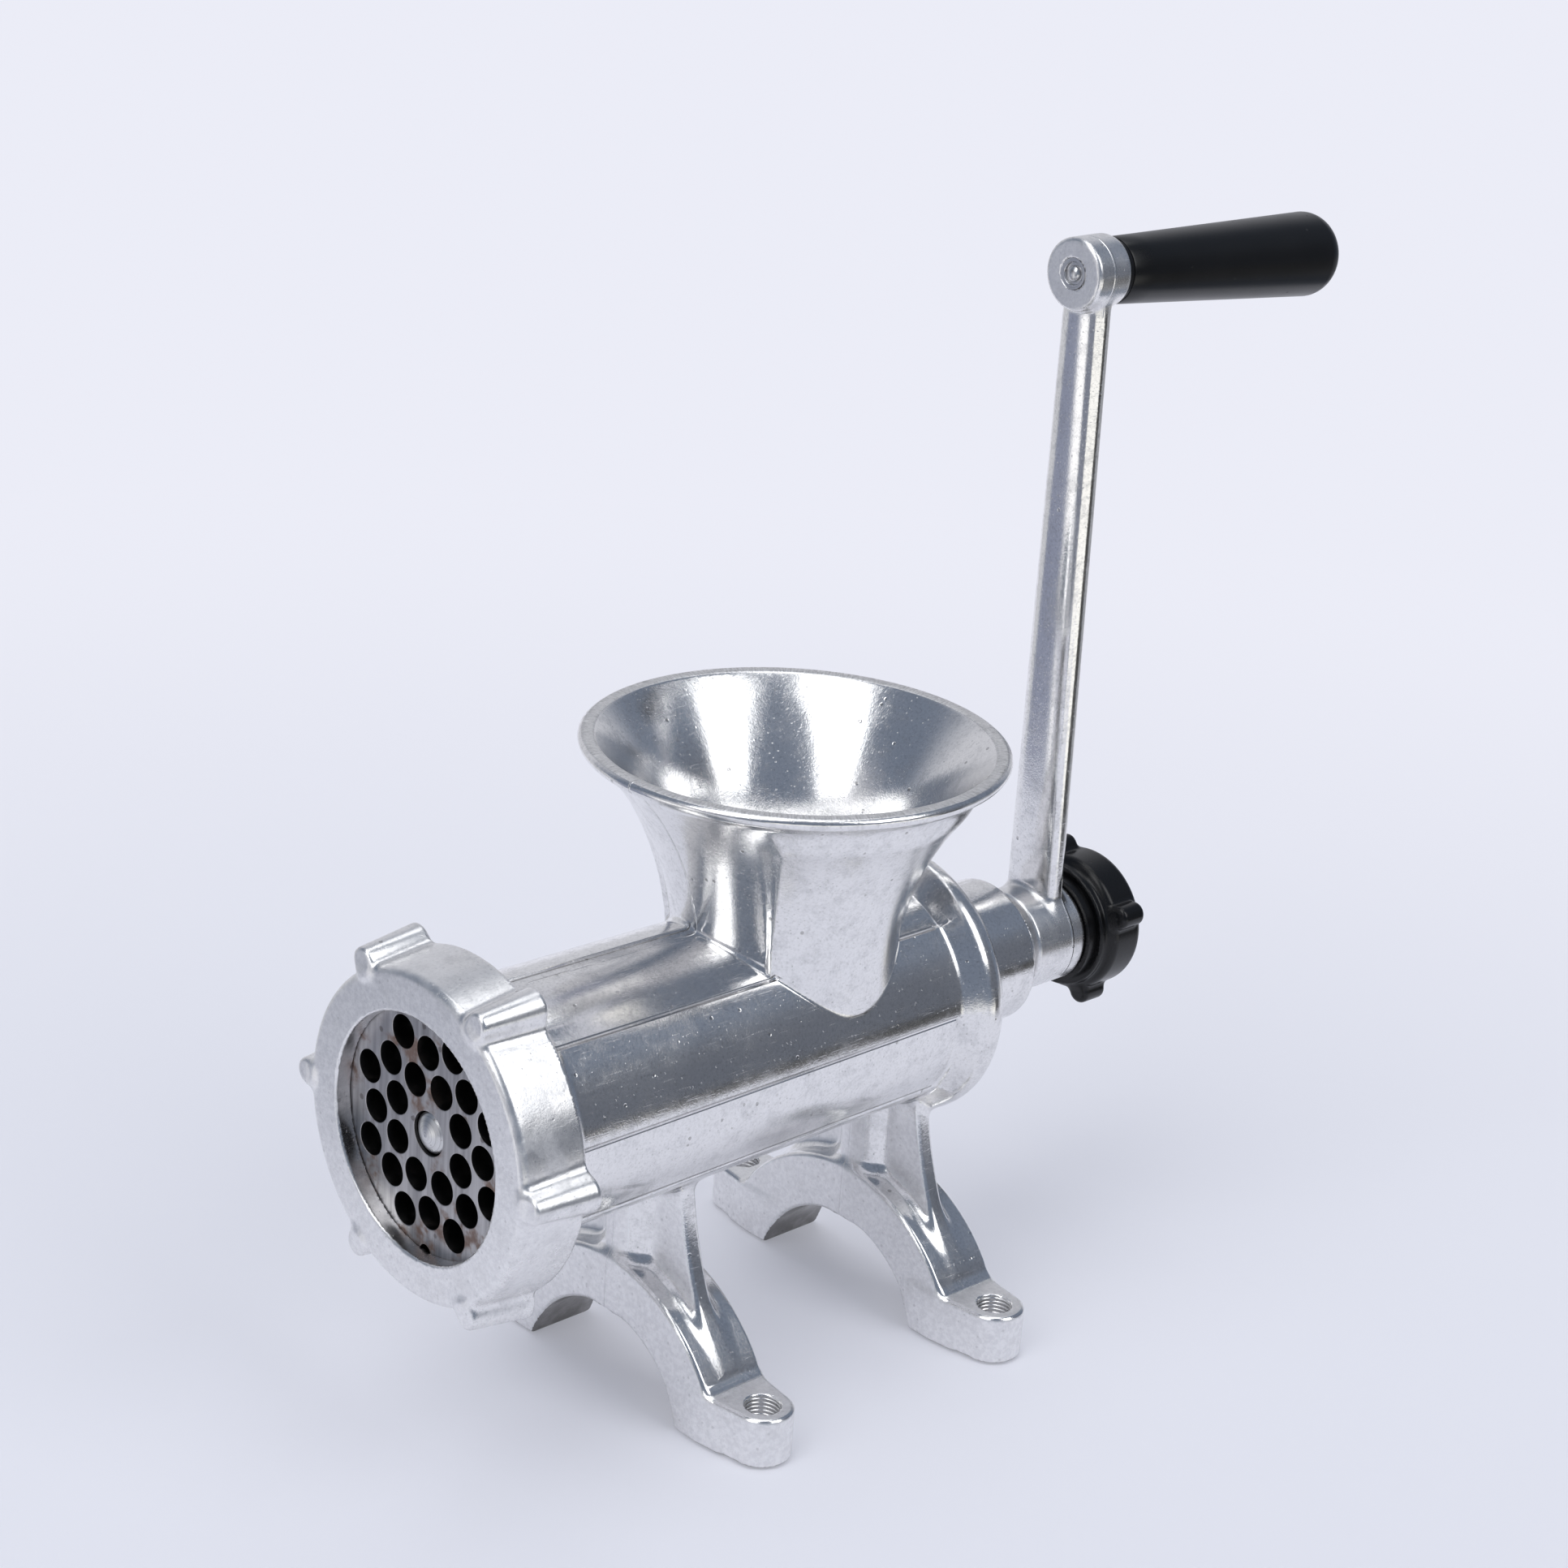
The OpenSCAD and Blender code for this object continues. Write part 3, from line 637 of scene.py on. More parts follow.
# Tones of the other materials
BLACK_DEEP = (0.0022, 0.0022, 0.0026)
BLACK_PLAIN = (0.0045, 0.0045, 0.005)
BLACK_DUST = (0.05, 0.05, 0.05)
PLATE_DARK = (0.28, 0.273, 0.28)
PLATE_LIGHT = (0.52, 0.51, 0.515)
PLATE_RUST = (0.21, 0.125, 0.09)
PLATE_SPOT = (0.10, 0.08, 0.075)
# Painted shade on the walls of the plate's holes
PLATE_WALL_SHADE = (0.02, 0.019, 0.018)
STEEL_SPOT = (0.2, 0.17, 0.15)
STUD_TINT = (0.72, 0.72, 0.72)
PIN_TINT = (0.72, 0.72, 0.73)
WASHER_DARK = (0.72, 0.71, 0.67)
WASHER_LIGHT = (0.82, 0.81, 0.77)
PAPER_DARK = (0.86, 0.865, 0.93)
PAPER_LIGHT = (0.88, 0.885, 0.945)
PAPER_GLOW = (0.835, 0.845, 0.93, 1)

# Aluminium textures: noise (scale, detail, roughness), specks (scale, size, share), scratches (turn, rarity)
CLOUD_NOISE = (38, 4, 0.6)
MOTTLE_NOISE = (210, 5, 0.72)
WAVE_NOISE = (70, 1.5, 0.4)
GRAIN_NOISE = (2200, 1.5, 0.6)
SPECKLE_NOISE = (1300, 2, 0.7)
COARSE_NOISE = (700, 3, 0.7)
STAIN_NOISE = (120, 4, 0.65)
PIT_SPECKS = (420, 0.26, 0.03)
DOT_SPECKS = (1100, 0.26, 0.1)
SAND_SPECKS = (620, 0.3, 0.14)
SCRATCHES = (((0.2, 0.4, 0.3), 0.74), ((0.9, -0.5, 1.1), 0.74), ((-0.6, 0.9, 0.5), 0.75))

# Roughness: least, and what the cast grain adds to it where two values are given
BODY_ROUGH = 0.15
RING_ROUGH = 0.26
AUGER_ROUGH = 0.25
ARM_ROUGH = 0.12
HUB_ROUGHER = 0.14
BOSS_ROUGHER = 0.12
SAND_ROUGH = (0.34, 0.18)
TURNED_ROUGH = 0.33
GRIP_ROUGH = 0.24
KNOB_ROUGH = 0.2

# Depths of the bumps in millimetres
WAVE_DEPTH = 0.085
GRAIN_DEPTH = 0.02
COARSE_DEPTH = 0.055
PIT_DEPTH = 0.07
SCRATCH_DEPTH = 0.006
STROKE_DEPTH = 0.05
SEAM_DEPTH = 0.25
THREAD_DEPTH = 0.28
BAND_LINE_DEPTH = 0.5

# Where a finish changes, in metres: start and end of each soft change
FEET_ENDS_X = (0.0365, 0.038)
FEET_ENDS_Z = (0.0146, 0.0152)
FEET_Z = (0.05, 0.06)
FEET_TIPS_X = (0.047, 0.052)
FEET_SIDES_Z = (0.0135, 0.0145)
# The next four place painted shade: along the bottom edge of the feet, and on the faces inside the arches
CONTACT_SHADE_Z = (0.0005, 0.0013)
ARCH_Z = (0.036, 0.04)
ARCH_X = (0.036, 0.04)
ARCH_INWARD = (-0.012, -0.004)
MOULD_LINE_X = (0.00012, 0.0004)
MOULD_FEET_Z = (0.052, 0.056)
MOULD_HOPPER_Z = (0.118, 0.122)
MOULD_HOPPER_Y = (-0.027, -0.026)
HUB_LINE = (0.00015, 0.0005)
HUB_LINE_Y = 0.0993
BOSS_LINE_Y = 0.0942
HUB_LINE_Z = (0.106, 0.109)
BOSS_LINE_Z = (0.262, 0.265)
THREAD_PITCH = 0.0011
THREAD_R = (0.0046, 0.005)
THREAD_Z = (0.013, 0.0138)
BAND_LINE = (0.0002, 0.0008)
BAND_LINE_IN = (0.0305, 0.0308)
BAND_LINE_OUT = (0.0329, 0.0332)
BAND_LINE_START = (-0.0895, -0.089)
BAND_LINE_END = (0.0365, 0.037)
RIM_TOP_Z = (0.1646, 0.1651)
BOSS_FACE_Z = (0.263, 0.264)
HUB_DULL_Z = (0.103, 0.106)
BOSS_DULL_Z = (0.263, 0.266)


def aluminium(name, sand, least, seams=None, extra=(), turned=None, painted_shade=None):
    """Buffed cast aluminium. sand(s) is where it is left as cast, turned(s) where it is machined.
    least is its roughness where it is smoothest, as a value or a function of s."""
    s = Shader(name)
    least = least(s) if callable(least) else least
    rough_cast = sand(s)
    buffed = s.math("SUBTRACT", 1.0, rough_cast)
    cloud = s.noise(*CLOUD_NOISE)
    mottle = s.ramp(s.noise(*MOTTLE_NOISE), 0.46, 0.66)
    waves = s.noise(*WAVE_NOISE)
    grain = s.noise(*GRAIN_NOISE)
    speckle = s.noise(*SPECKLE_NOISE)
    coarse = s.noise(*COARSE_NOISE)
    pits = s.specks(*PIT_SPECKS)
    dots = s.specks(*DOT_SPECKS)
    lines = s.sum(*[s.scratches(turn, rare) for turn, rare in SCRATCHES])
    colour = s.mix(cloud, ALU_SHADE, ALU_PLAIN)
    colour = s.mix(s.times(mottle, 0.38), colour, ALU_MOTTLE)
    colour = s.mix(s.ramp(speckle, 0.5, 0.75, 0.0, 0.4), colour, ALU_SPECK_DARK)
    colour = s.mix(s.ramp(speckle, 0.5, 0.28, 0.0, 0.35), colour, ALU_SPECK_LIGHT)
    colour = s.mix(s.times(s.sum(pits, s.times(dots, 0.4)), 0.55), colour, ALU_PIT)
    sandy = s.mix(s.ramp(coarse, 0.36, 0.64), SAND_DARK, SAND_LIGHT)
    sandy = s.mix(s.times(s.specks(*SAND_SPECKS), 0.35), sandy, SAND_SPECK)
    sandy = s.mix(s.ramp(s.noise(*STAIN_NOISE), 0.5, 0.75, 0.0, 0.45), sandy, SAND_STAIN)
    colour = s.mix(s.times(rough_cast, 0.85), colour, sandy)
    rough = s.sum(least, s.ramp(cloud, 0.35, 0.75, 0.0, 0.05), s.times(mottle, 0.07), s.times(lines, 0.06))
    rough = s.blend(rough_cast, rough, s.sum(SAND_ROUGH[0], s.times(coarse, SAND_ROUGH[1])))
    layers = [(waves, WAVE_DEPTH), (s.times(grain, s.sum(0.8, rough_cast)), GRAIN_DEPTH),
              (s.times(coarse, s.sum(0.24, s.times(mottle, 0.24), rough_cast)), COARSE_DEPTH),
              (s.math("SUBTRACT", 1.0, s.times(s.sum(pits, s.times(dots, 0.5)), buffed)), PIT_DEPTH),
              (s.math("SUBTRACT", 1.0, s.times(lines, buffed)), SCRATCH_DEPTH)]
    if turned:
        where, strokes = turned(s)
        layers.append((s.times(strokes, where), STROKE_DEPTH))
        rough = s.blend(where, rough, TURNED_ROUGH)
        colour = s.mix(s.times(where, strokes, 0.6), colour, TOOL_MARK)
    # Painted shade, mixed into the colour where the given mask says
    if painted_shade:
        colour = s.mix(painted_shade(s), colour, PAINTED_SHADE_TONE)
    if seams:
        layers.append((seams(s), SEAM_DEPTH))
    layers += [(height(s), depth) for height, depth in extra]
    s.bumps(*layers)
    return s.finish(colour, rough, 1.0)


def ends_of_feet(s):
    """Where the four bolt pads are."""
    return s.times(s.ramp(s.math("ABSOLUTE", s.x), *FEET_ENDS_X), s.ramp(s.z, *FEET_ENDS_Z, 1, 0))


def body_sand(s):
    """Faces and bolt pads of the feet."""
    faces = s.ramp(s.math("ABSOLUTE", s.ny), 0.8, 0.96)
    low = s.ramp(s.z, *FEET_Z, 1, 0)
    ends = s.ramp(s.math("ABSOLUTE", s.x), *FEET_TIPS_X)
    upright = s.ramp(s.math("ABSOLUTE", s.nz), 0.3, 0.6, 1, 0)
    pad_side = s.times(ends, upright, s.ramp(s.z, *FEET_SIDES_Z, 1, 0))
    pad_top = s.times(ends_of_feet(s), s.ramp(s.nz, 0.9, 0.98))
    return s.times(low, s.math("MAXIMUM", s.math("MAXIMUM", faces, pad_side), s.times(pad_top, 0.8)))


def body_painted_shade(s):
    """Painted shade: darker along the bottom edge of the feet, and on the faces inside the arches that look
    inwards or downwards.
    """
    edge = s.ramp(s.sum(s.z, s.times(s.noise(300, 2), 0.0006)), *CONTACT_SHADE_Z, 0.8, 0.0)
    inward = s.ramp(s.times(s.nx, s.x), *ARCH_INWARD, 1, 0)
    under = s.ramp(s.nz, -0.5, -0.2, 1, 0)
    arch = s.times(s.ramp(s.z, *ARCH_Z, 1, 0), s.ramp(s.math("ABSOLUTE", s.x), *ARCH_X, 1, 0),
                   s.ramp(s.math("ABSOLUTE", s.ny), 0.3, 0.6, 1, 0))
    arch_shade = s.times(arch, s.math("MAXIMUM", inward, under), s.ramp(s.noise(160, 3), 0.3, 0.6, 0.75, 0.95))
    return s.math("MAXIMUM", edge, arch_shade)


def body_seams(s):
    """Thin ridge where the two halves of the mould met, on the feet and the front of the hopper."""
    line = s.ramp(s.math("ABSOLUTE", s.x), *MOULD_LINE_X, 1, 0)
    feet = s.ramp(s.z, *MOULD_FEET_Z, 1, 0)
    hopper = s.times(s.ramp(s.z, *MOULD_HOPPER_Z), s.ramp(s.y, *MOULD_HOPPER_Y, 1, 0),
                     s.ramp(s.noise(90, 2), 0.35, 0.6))
    return s.times(line, s.sum(feet, hopper))


def hub_seam(s):
    """Thin ridges round the hub and the boss of the crank."""
    hub = s.ramp(s.math("ABSOLUTE", s.math("SUBTRACT", s.y, HUB_LINE_Y)), *HUB_LINE, 1, 0)
    boss = s.ramp(s.math("ABSOLUTE", s.math("SUBTRACT", s.y, BOSS_LINE_Y)), *HUB_LINE, 1, 0)
    return s.sum(s.times(hub, s.ramp(s.z, *HUB_LINE_Z, 1, 0)), s.times(boss, s.ramp(s.z, *BOSS_LINE_Z)))


def body_threads(s):
    """Thread in the bolt holes."""
    ax, ay = s.math("ABSOLUTE", s.x), s.math("ABSOLUTE", s.y)
    angle = s.math("ARCTAN2", s.math("SUBTRACT", ay, BOLT[1] * MM), s.math("SUBTRACT", ax, BOLT[0] * MM))
    wave = s.math("SINE", s.sum(s.times(s.z, 2 * math.pi / THREAD_PITCH), angle))
    hole = s.ramp(s.radius(ax, ay, BOLT[0] * MM, BOLT[1] * MM), *THREAD_R, 1, 0)
    return s.times(s.ramp(wave, -1, 1), hole, s.ramp(s.z, *THREAD_Z, 1, 0))


def band_lines(s):
    """Sharp edges of the raised bands along the barrel."""
    rho = s.radius(s.x, s.z, 0.0, AXIS * MM)
    angle = s.math("ARCTAN2", s.math("SUBTRACT", s.z, AXIS * MM), s.x)
    turn = s.math("SUBTRACT", angle, math.radians(BAND_TURN))
    turn = s.math("PINGPONG", turn, math.radians(BAND_PITCH / 2))
    gap = s.math("ABSOLUTE", s.times(s.math("SUBTRACT", turn, math.radians(BAND_HALF)), rho))
    shell = s.times(s.ramp(rho, *BAND_LINE_IN), s.ramp(rho, *BAND_LINE_OUT, 1, 0))
    reach = s.times(s.ramp(s.y, *BAND_LINE_START), s.ramp(s.y, *BAND_LINE_END, 1, 0))
    return s.math("SUBTRACT", 1.0, s.times(s.ramp(gap, *BAND_LINE, 1, 0), shell, reach))


def body_turned(s):
    """Strokes across the machined rim of the hopper."""
    where = s.times(s.ramp(s.z, *RIM_TOP_Z), s.ramp(s.nz, 0.8, 0.95))
    off = s.math("SUBTRACT", s.y, HOPPER_Y * MM)
    angle = s.math("ARCTAN2", off, s.x)
    spot = s.node("ShaderNodeCombineXYZ", {0: s.times(angle, 110.0), 1: s.times(s.radius(s.x, off), 350.0)})
    return where, s.ramp(s.noise(1, 4, 0.75, spot.outputs[0]), 0.35, 0.68)


def ring_sand(s):
    """The ring's front, and patches all over it."""
    front = s.ramp(s.ny, -0.97, -0.8, 1, 0)
    patch = s.ramp(s.noise(60, 3, 0.6), 0.52, 0.62)
    return s.math("MAXIMUM", s.times(front, 0.85), s.times(patch, 0.7))


def arm_sand(s):
    """Faint patches on the arm, and the face of the boss."""
    face = s.times(s.ramp(s.ny, -0.97, -0.9, 1, 0), s.ramp(s.z, *BOSS_FACE_Z))
    return s.math("MAXIMUM", s.times(s.ramp(s.noise(45, 2), 0.62, 0.75), 0.4), s.times(face, 0.45))


def auger_sand(s):
    """Patches all over the auger."""
    return s.ramp(s.noise(80, 2), 0.4, 0.6)


def arm_rough(s):
    """The arm is polished more than the hub and the boss."""
    hub = s.ramp(s.z, *HUB_DULL_Z, HUB_ROUGHER, 0.0)
    return s.sum(ARM_ROUGH, hub, s.ramp(s.z, *BOSS_DULL_Z, 0.0, BOSS_ROUGHER))


def black_plastic(name, least):
    """Glossy black plastic with a little dust on it."""
    s = Shader(name)
    cloud = s.noise(60, 3)
    dust = s.specks(420, 0.2, 0.05)
    s.bumps((s.noise(1400, 2), 0.004), (s.noise(90, 1), 0.03), (s.math("SUBTRACT", 1.0, dust), 0.01))
    colour = s.mix(s.times(dust, 0.35), s.mix(cloud, BLACK_DEEP, BLACK_PLAIN), BLACK_DUST)
    s.bsdf.inputs["Specular IOR Level"].default_value = 0.4
    return s.finish(colour, s.sum(least, s.times(cloud, 0.12), s.times(dust, 0.2)), 0.0)


def plate_metal():
    """Ground steel with fine lines and rust smears, and painted shade, near black, on the walls of the holes.
    """
    s = Shader("plate_steel")
    lines = s.noise(330, 4, 0.75, s.stretched((1, 1, 0.03), (0, 0.75, 0)))
    fine = s.noise(1100, 2, 0.6, s.stretched((1, 1, 0.02), (0, 0.75, 0)))
    smear = s.times(s.ramp(s.noise(85, 4, 0.65), 0.5, 0.64), s.ramp(s.noise(300, 3), 0.33, 0.58))
    spots = s.specks(300, 0.3, 0.2)
    colour = s.mix(s.ramp(lines, 0.3, 0.7), PLATE_DARK, PLATE_LIGHT)
    colour = s.mix(s.times(smear, 0.8), colour, PLATE_RUST)
    colour = s.mix(s.times(spots, 0.6), colour, PLATE_SPOT)
    # Painted shade: the walls of the holes are made near black
    shaded_walls = s.ramp(s.math("ABSOLUTE", s.ny), 0.3, 0.6, 1, 0)
    colour = s.mix(s.times(shaded_walls, 0.92), colour, PLATE_WALL_SHADE)
    s.bumps((lines, 0.03), (fine, 0.012), (s.math("SUBTRACT", 1.0, spots), 0.03))
    return s.finish(colour, s.sum(0.3, s.times(lines, 0.12), s.times(smear, 0.25)), 1.0)


def turned_steel(name, middle, tint):
    """Steel with fine rings round an axis along Y, whose X and Z are given."""
    s = Shader(name)
    r = s.radius(s.x, s.z, middle[0] * MM, middle[1] * MM)
    rings = s.noise(1, 2, 0.6, s.node("ShaderNodeCombineXYZ", {0: s.times(r, 2600.0)}).outputs[0])
    cloud = s.noise(200, 3)
    colour = s.mix(cloud, tuple(t * 0.85 for t in tint), tint)
    colour = s.mix(s.ramp(rings, 0.45, 0.7, 0.0, 0.6), colour, tuple(t * 0.45 for t in tint))
    colour = s.mix(s.times(s.specks(700, 0.3, 0.2), 0.5), colour, STEEL_SPOT)
    s.bumps((rings, 0.06), (s.noise(900, 2), 0.008))
    return s.finish(colour, s.sum(0.22, s.times(cloud, 0.14)), 1.0)


def washer_plastic():
    """Pale plastic of the thrust washer."""
    s = Shader("thrust_plastic")
    cloud = s.noise(120, 3)
    s.bumps((s.noise(1500, 2), 0.006))
    return s.finish(s.mix(cloud, WASHER_DARK, WASHER_LIGHT), s.sum(0.4, s.times(cloud, 0.15)), 0.0)


# The last function given to the body's metal paints shade along the bottom edge of the feet and inside the
# arches
body_metal = aluminium("cast_aluminium", body_sand, BODY_ROUGH, body_seams,
                       [(body_threads, THREAD_DEPTH), (band_lines, BAND_LINE_DEPTH)], body_turned, body_painted_shade)
ring_metal = aluminium("ring_aluminium", ring_sand, RING_ROUGH)
arm_metal = aluminium("polished_aluminium", arm_sand, arm_rough, hub_seam)
auger_metal = aluminium("auger_aluminium", auger_sand, AUGER_ROUGH)
grip_black = black_plastic("grip_plastic", GRIP_ROUGH)
knob_black = black_plastic("knob_plastic", KNOB_ROUGH)
plate_steel = plate_metal()
stud_steel = turned_steel("stud_steel", (0, AXIS), STUD_TINT)
pin_steel = turned_steel("spindle_steel", (0, AXIS + CRANK_R), PIN_TINT)
finishes = {"plate_pin": pin_steel, "cross_knife": plate_steel, "front_stud": stud_steel,
            "auger": auger_metal, "thrust_washer": washer_plastic(), "grip_washer": grip_black,
            "knob_washer": knob_black, "clamp_screw": pin_steel}
for name, finish in finishes.items():
    nodes[name].data.materials.clear()
    nodes[name].data.materials.append(finish)

# Broken edges of CAD nodes, in millimetres
broken_edges = {"grip_washer": 0.3, "knob_washer": 0.4, "cross_knife": 0.2, "thrust_washer": 0.3}
for name, width in broken_edges.items():
    edge = nodes[name].modifiers.new("edge", "BEVEL")
    edge.width = width * MM
    edge.segments = 2
    edge.limit_method = "ANGLE"

# Castings and mouldings: box of the field, size of its cells and share of the faces that is kept
BODY_NET = ((-58, -106, 0), (58, 79, 166), 0.65, 0.19)
RING_NET = ((-48, -115, 41), (48, -96, 137), 0.7, 0.5)
ARM_NET = ((-15, 79, 73), (15, 105, 285), 0.7, 0.5)
KNOB_NET = ((-24, 107, 64), (24, 123, 113), 0.6, 0.6)
cast_piece("body_casting", body_field, *BODY_NET, "frame", "cast_aluminium", body_metal, ["grinder_body"])
cast_piece("ring_casting", ring_field, *RING_NET, "ring", "cast_aluminium", ring_metal, ["ring_nut"])
cast_piece("arm_casting", arm_field, *ARM_NET, "crank", "polished_aluminium", arm_metal, ["crank_arm"])
cast_piece("knob_moulding", knob_field, *KNOB_NET, "knob", "black_plastic", knob_black, ["clamp_knob"])


def lathe(name, profile, place, steps, body, material, stands_for):
    """Turned piece: profile of (radius, distance along) in millimetres, round the Z axis of place."""
    work = bmesh.new()
    rows = []
    for r, along in profile:
        if r < 1e-6:
            rows.append([work.verts.new((0, 0, along * MM))])
        else:
            rows.append([work.verts.new((r * MM * math.cos(2 * math.pi * i / steps),
                                         r * MM * math.sin(2 * math.pi * i / steps), along * MM))
                         for i in range(steps)])
    for low, high in zip(rows, rows[1:]):
        for i in range(steps):
            j = (i + 1) % steps
            corners = [low[i % len(low)], low[j % len(low)], high[j % len(high)], high[i % len(high)]]
            work.faces.new(list(dict.fromkeys(corners)))
    bmesh.ops.recalc_face_normals(work, faces=work.faces)
    work.transform(place)
    mesh = bpy.data.meshes.new(name)
    work.to_mesh(mesh)
    work.free()
    mesh.shade_smooth()
    mesh.set_sharp_from_angle(angle=math.radians(40))
    return show(name, mesh, body, material, stands_for)


def arc(r0, z0, radius, start, end, count):
    """Points of an arc in a lathe profile, angles in degrees from outwards to along the axis."""
    turns = [math.radians(start + (end - start) * i / count) for i in range(count + 1)]
    return [(r0 + radius * math.cos(a), z0 + radius * math.sin(a)) for a in turns]


grip_axis = (Matrix.Translation(Vector((0, BOSS_Y, AXIS + CRANK_R)) * MM)
             @ Matrix.Rotation(math.radians(-90 - GRIP_DROOP), 4, "X"))
grip_taper = [(GRIP_THIN[0] + GRIP_SWELL * t, GRIP_THIN[1] + GRIP_TAPER * t) for t in GRIP_TAPER_STEPS]
grip_recess = [(RECESS_R, RECESS_TOP), (RECESS_R, RECESS_FLOOR), (GRIP_BORE, RECESS_MIDDLE)]
grip_profile = ([(GRIP_BORE, GRIP_START), (GRIP_FACE_R, GRIP_START), GRIP_EDGE, GRIP_THIN] + grip_taper
                + arc(*GRIP_END_CENTRE, GRIP_END_ROUND, *GRIP_END_SWEEP, GRIP_END_STEPS)
                + GRIP_LIP + grip_recess)
lathe("grip_moulding", grip_profile, grip_axis, GRIP_SIDES, "grip", grip_black,
      ["handle_grip"])

rivet_dome = [(RIVET_R * math.sin(math.radians(a)),
               RIVET_TOP + RIVET_R * (1 - math.cos(math.radians(a))) * RIVET_FLATNESS) for a in RIVET_TURNS]
pin_head = [(HEAD_NECK_R, HEAD_START)] + HEAD_RIM + [(HEAD_FLAT_R, HEAD_TOP), (0, HEAD_TOP)]
pin_profile = ([(0, RIVET_TOP)] + rivet_dome + GROOVE + [(PIN_R, PIN_FACE), (PIN_R, HEAD_START)] + pin_head)
lathe("spindle_pin", pin_profile, grip_axis, PIN_SIDES, "crank", pin_steel, ["grip_spindle"])


def plate_disc():
    """The perforated plate as a filled outline with softly broken edges."""
    shape = bpy.data.curves.new("plate", "CURVE")
    shape.dimensions = "2D"
    shape.fill_mode = "BOTH"
    shape.extrude = PLATE_HALF * MM
    shape.bevel_depth = PLATE_EDGE * MM
    shape.bevel_resolution = 1
    shape.offset = -PLATE_EDGE * MM

    def outline(points):
        line = shape.splines.new("POLY")
        line.points.add(len(points) - 1)
        for point, (a, b) in zip(line.points, points):
            point.co = (a * MM, b * MM, 0, 1)
        line.use_cyclic_u = True

    def circle(cx, cy, r, count):
        outline([(cx + r * math.cos(2 * math.pi * i / count), cy + r * math.sin(2 * math.pi * i / count))
                 for i in range(count)])

    half = math.degrees(math.asin(NOTCH_HALF / PLATE_R))
    rim = [math.radians(-90 + half + (360 - 2 * half) * i / RIM_SIDES) for i in range(RIM_SIDES + 1)]
    notch = [math.radians(180 - 180 * i / NOTCH_SIDES) for i in range(NOTCH_SIDES + 1)]
    outline([(PLATE_R * math.cos(a), PLATE_R * math.sin(a)) for a in rim]
            + [(NOTCH_HALF * math.cos(a), -NOTCH_END_R + NOTCH_HALF * math.sin(a)) for a in notch])
    for r, turn in HOLE_RINGS:
        for i in range(HOLE_COUNT):
            a = math.radians(turn + 360 / HOLE_COUNT * i)
            circle(r * math.cos(a), r * math.sin(a), HOLE_R, HOLE_SIDES)
    circle(0, 0, STUD_HOLE_R, STUD_HOLE_SIDES)
    trial = bpy.data.objects.new("trial", shape)
    bpy.context.scene.collection.objects.link(trial)
    mesh = bpy.data.meshes.new_from_object(trial.evaluated_get(bpy.context.evaluated_depsgraph_get()))
    bpy.data.objects.remove(trial)
    mesh.name = "plate_disc"
    upright = Matrix.Rotation(math.radians(90), 4, "X")
    mesh.transform(Matrix.Translation(Vector((0, PLATE_Y, AXIS)) * MM) @ upright)
    mesh.set_sharp_from_angle(angle=math.radians(30))
    return show("plate_disc", mesh, "plate", plate_steel, ["grinding_plate"])


plate_disc()

# Table in metres: corners by how near the camera and how far to its right they lie
TABLE = ((0.4, 0.36), (-0.25, 0.36), (-0.65, 0.5), (-6.0, 3.0), (-6.0, -3.0), (-0.65, -0.4), (-0.35, -0.31),
         (0.0, -0.25), (0.4, -0.3))
NEARER = (0.719, -0.695)
ASIDE = (0.677, 0.736)
GLOW_MIDDLE = (0.1, -0.1)
GLOW_REACH = (0.15, 0.9)
GLOW_NEAR = 0.3

# Studio in degrees: lobes (azimuth, height, inner, outer), panels (azimuth, half width, low, high, softness)
ROOM = (0.165, 0.197, 0.26, 1)
LOBES = (((150, 0, 30, 65), (0.62, 0.63, 0.68, 1)),
         ((-98, 6, 10, 36), (0.5, 0.51, 0.56, 1)),
         ((38, 5, 10, 34), (0.13, 0.144, 0.177, 1)))
PANELS = (((177, 31, -30, -9, 4), (0.62, 0.63, 0.67, 1)),
          ((-133, 14, -30, -9, 4), (0.26, 0.285, 0.38, 1)),
          ((-106, 8, -30, -11, 13), (1.2, 1.2, 1.22, 1)),
          ((-72, 16, -30, -9, 3), (0.22, 0.24, 0.3, 1)),
          ((-9, 44, -30, -11, 3), (1.15, 1.14, 1.1, 1)),
          ((45, 8, -30, -9, 3), (0.06, 0.06, 0.06, 1)),
          ((85, 28, -30, -9, 4), (0.36, 0.37, 0.4, 1)))

# Lamps: azimuth, height, size in metres, level, roll
LAMPS = {"left_softbox": (-83, 51, (3.2, 5.8), 2.3, 0.0),
         "right_softbox": (18, 43, (3.0, 4.8), 2.2, -14),
         "rear_softbox": (112, 60, (2.0, 1.6), 1.3, 0.0),
         "overhead_softbox": (136, 86, (3.2, 3.2), 1.7, 0.0)}
LAMP_DISTANCE = 6.0
LAMP_AIM = (0, 0, 0.12)

# Camera fitted to the photo: lengths in millimetres, axes as unit vectors
FRAME_PX = 1932
FOCAL_PX = 4098.26
SENSOR = 36
CAMERA_AIM = (-0.52, -0.5, 153.84)
CAMERA_DISTANCE = 832.76
CAMERA_RIGHT = (0.67544, 0.73449, 0.06534)
CAMERA_UP = (-0.30844, 0.20093, 0.92978)
CAMERA_BACK = (0.66979, -0.64817, 0.36227)


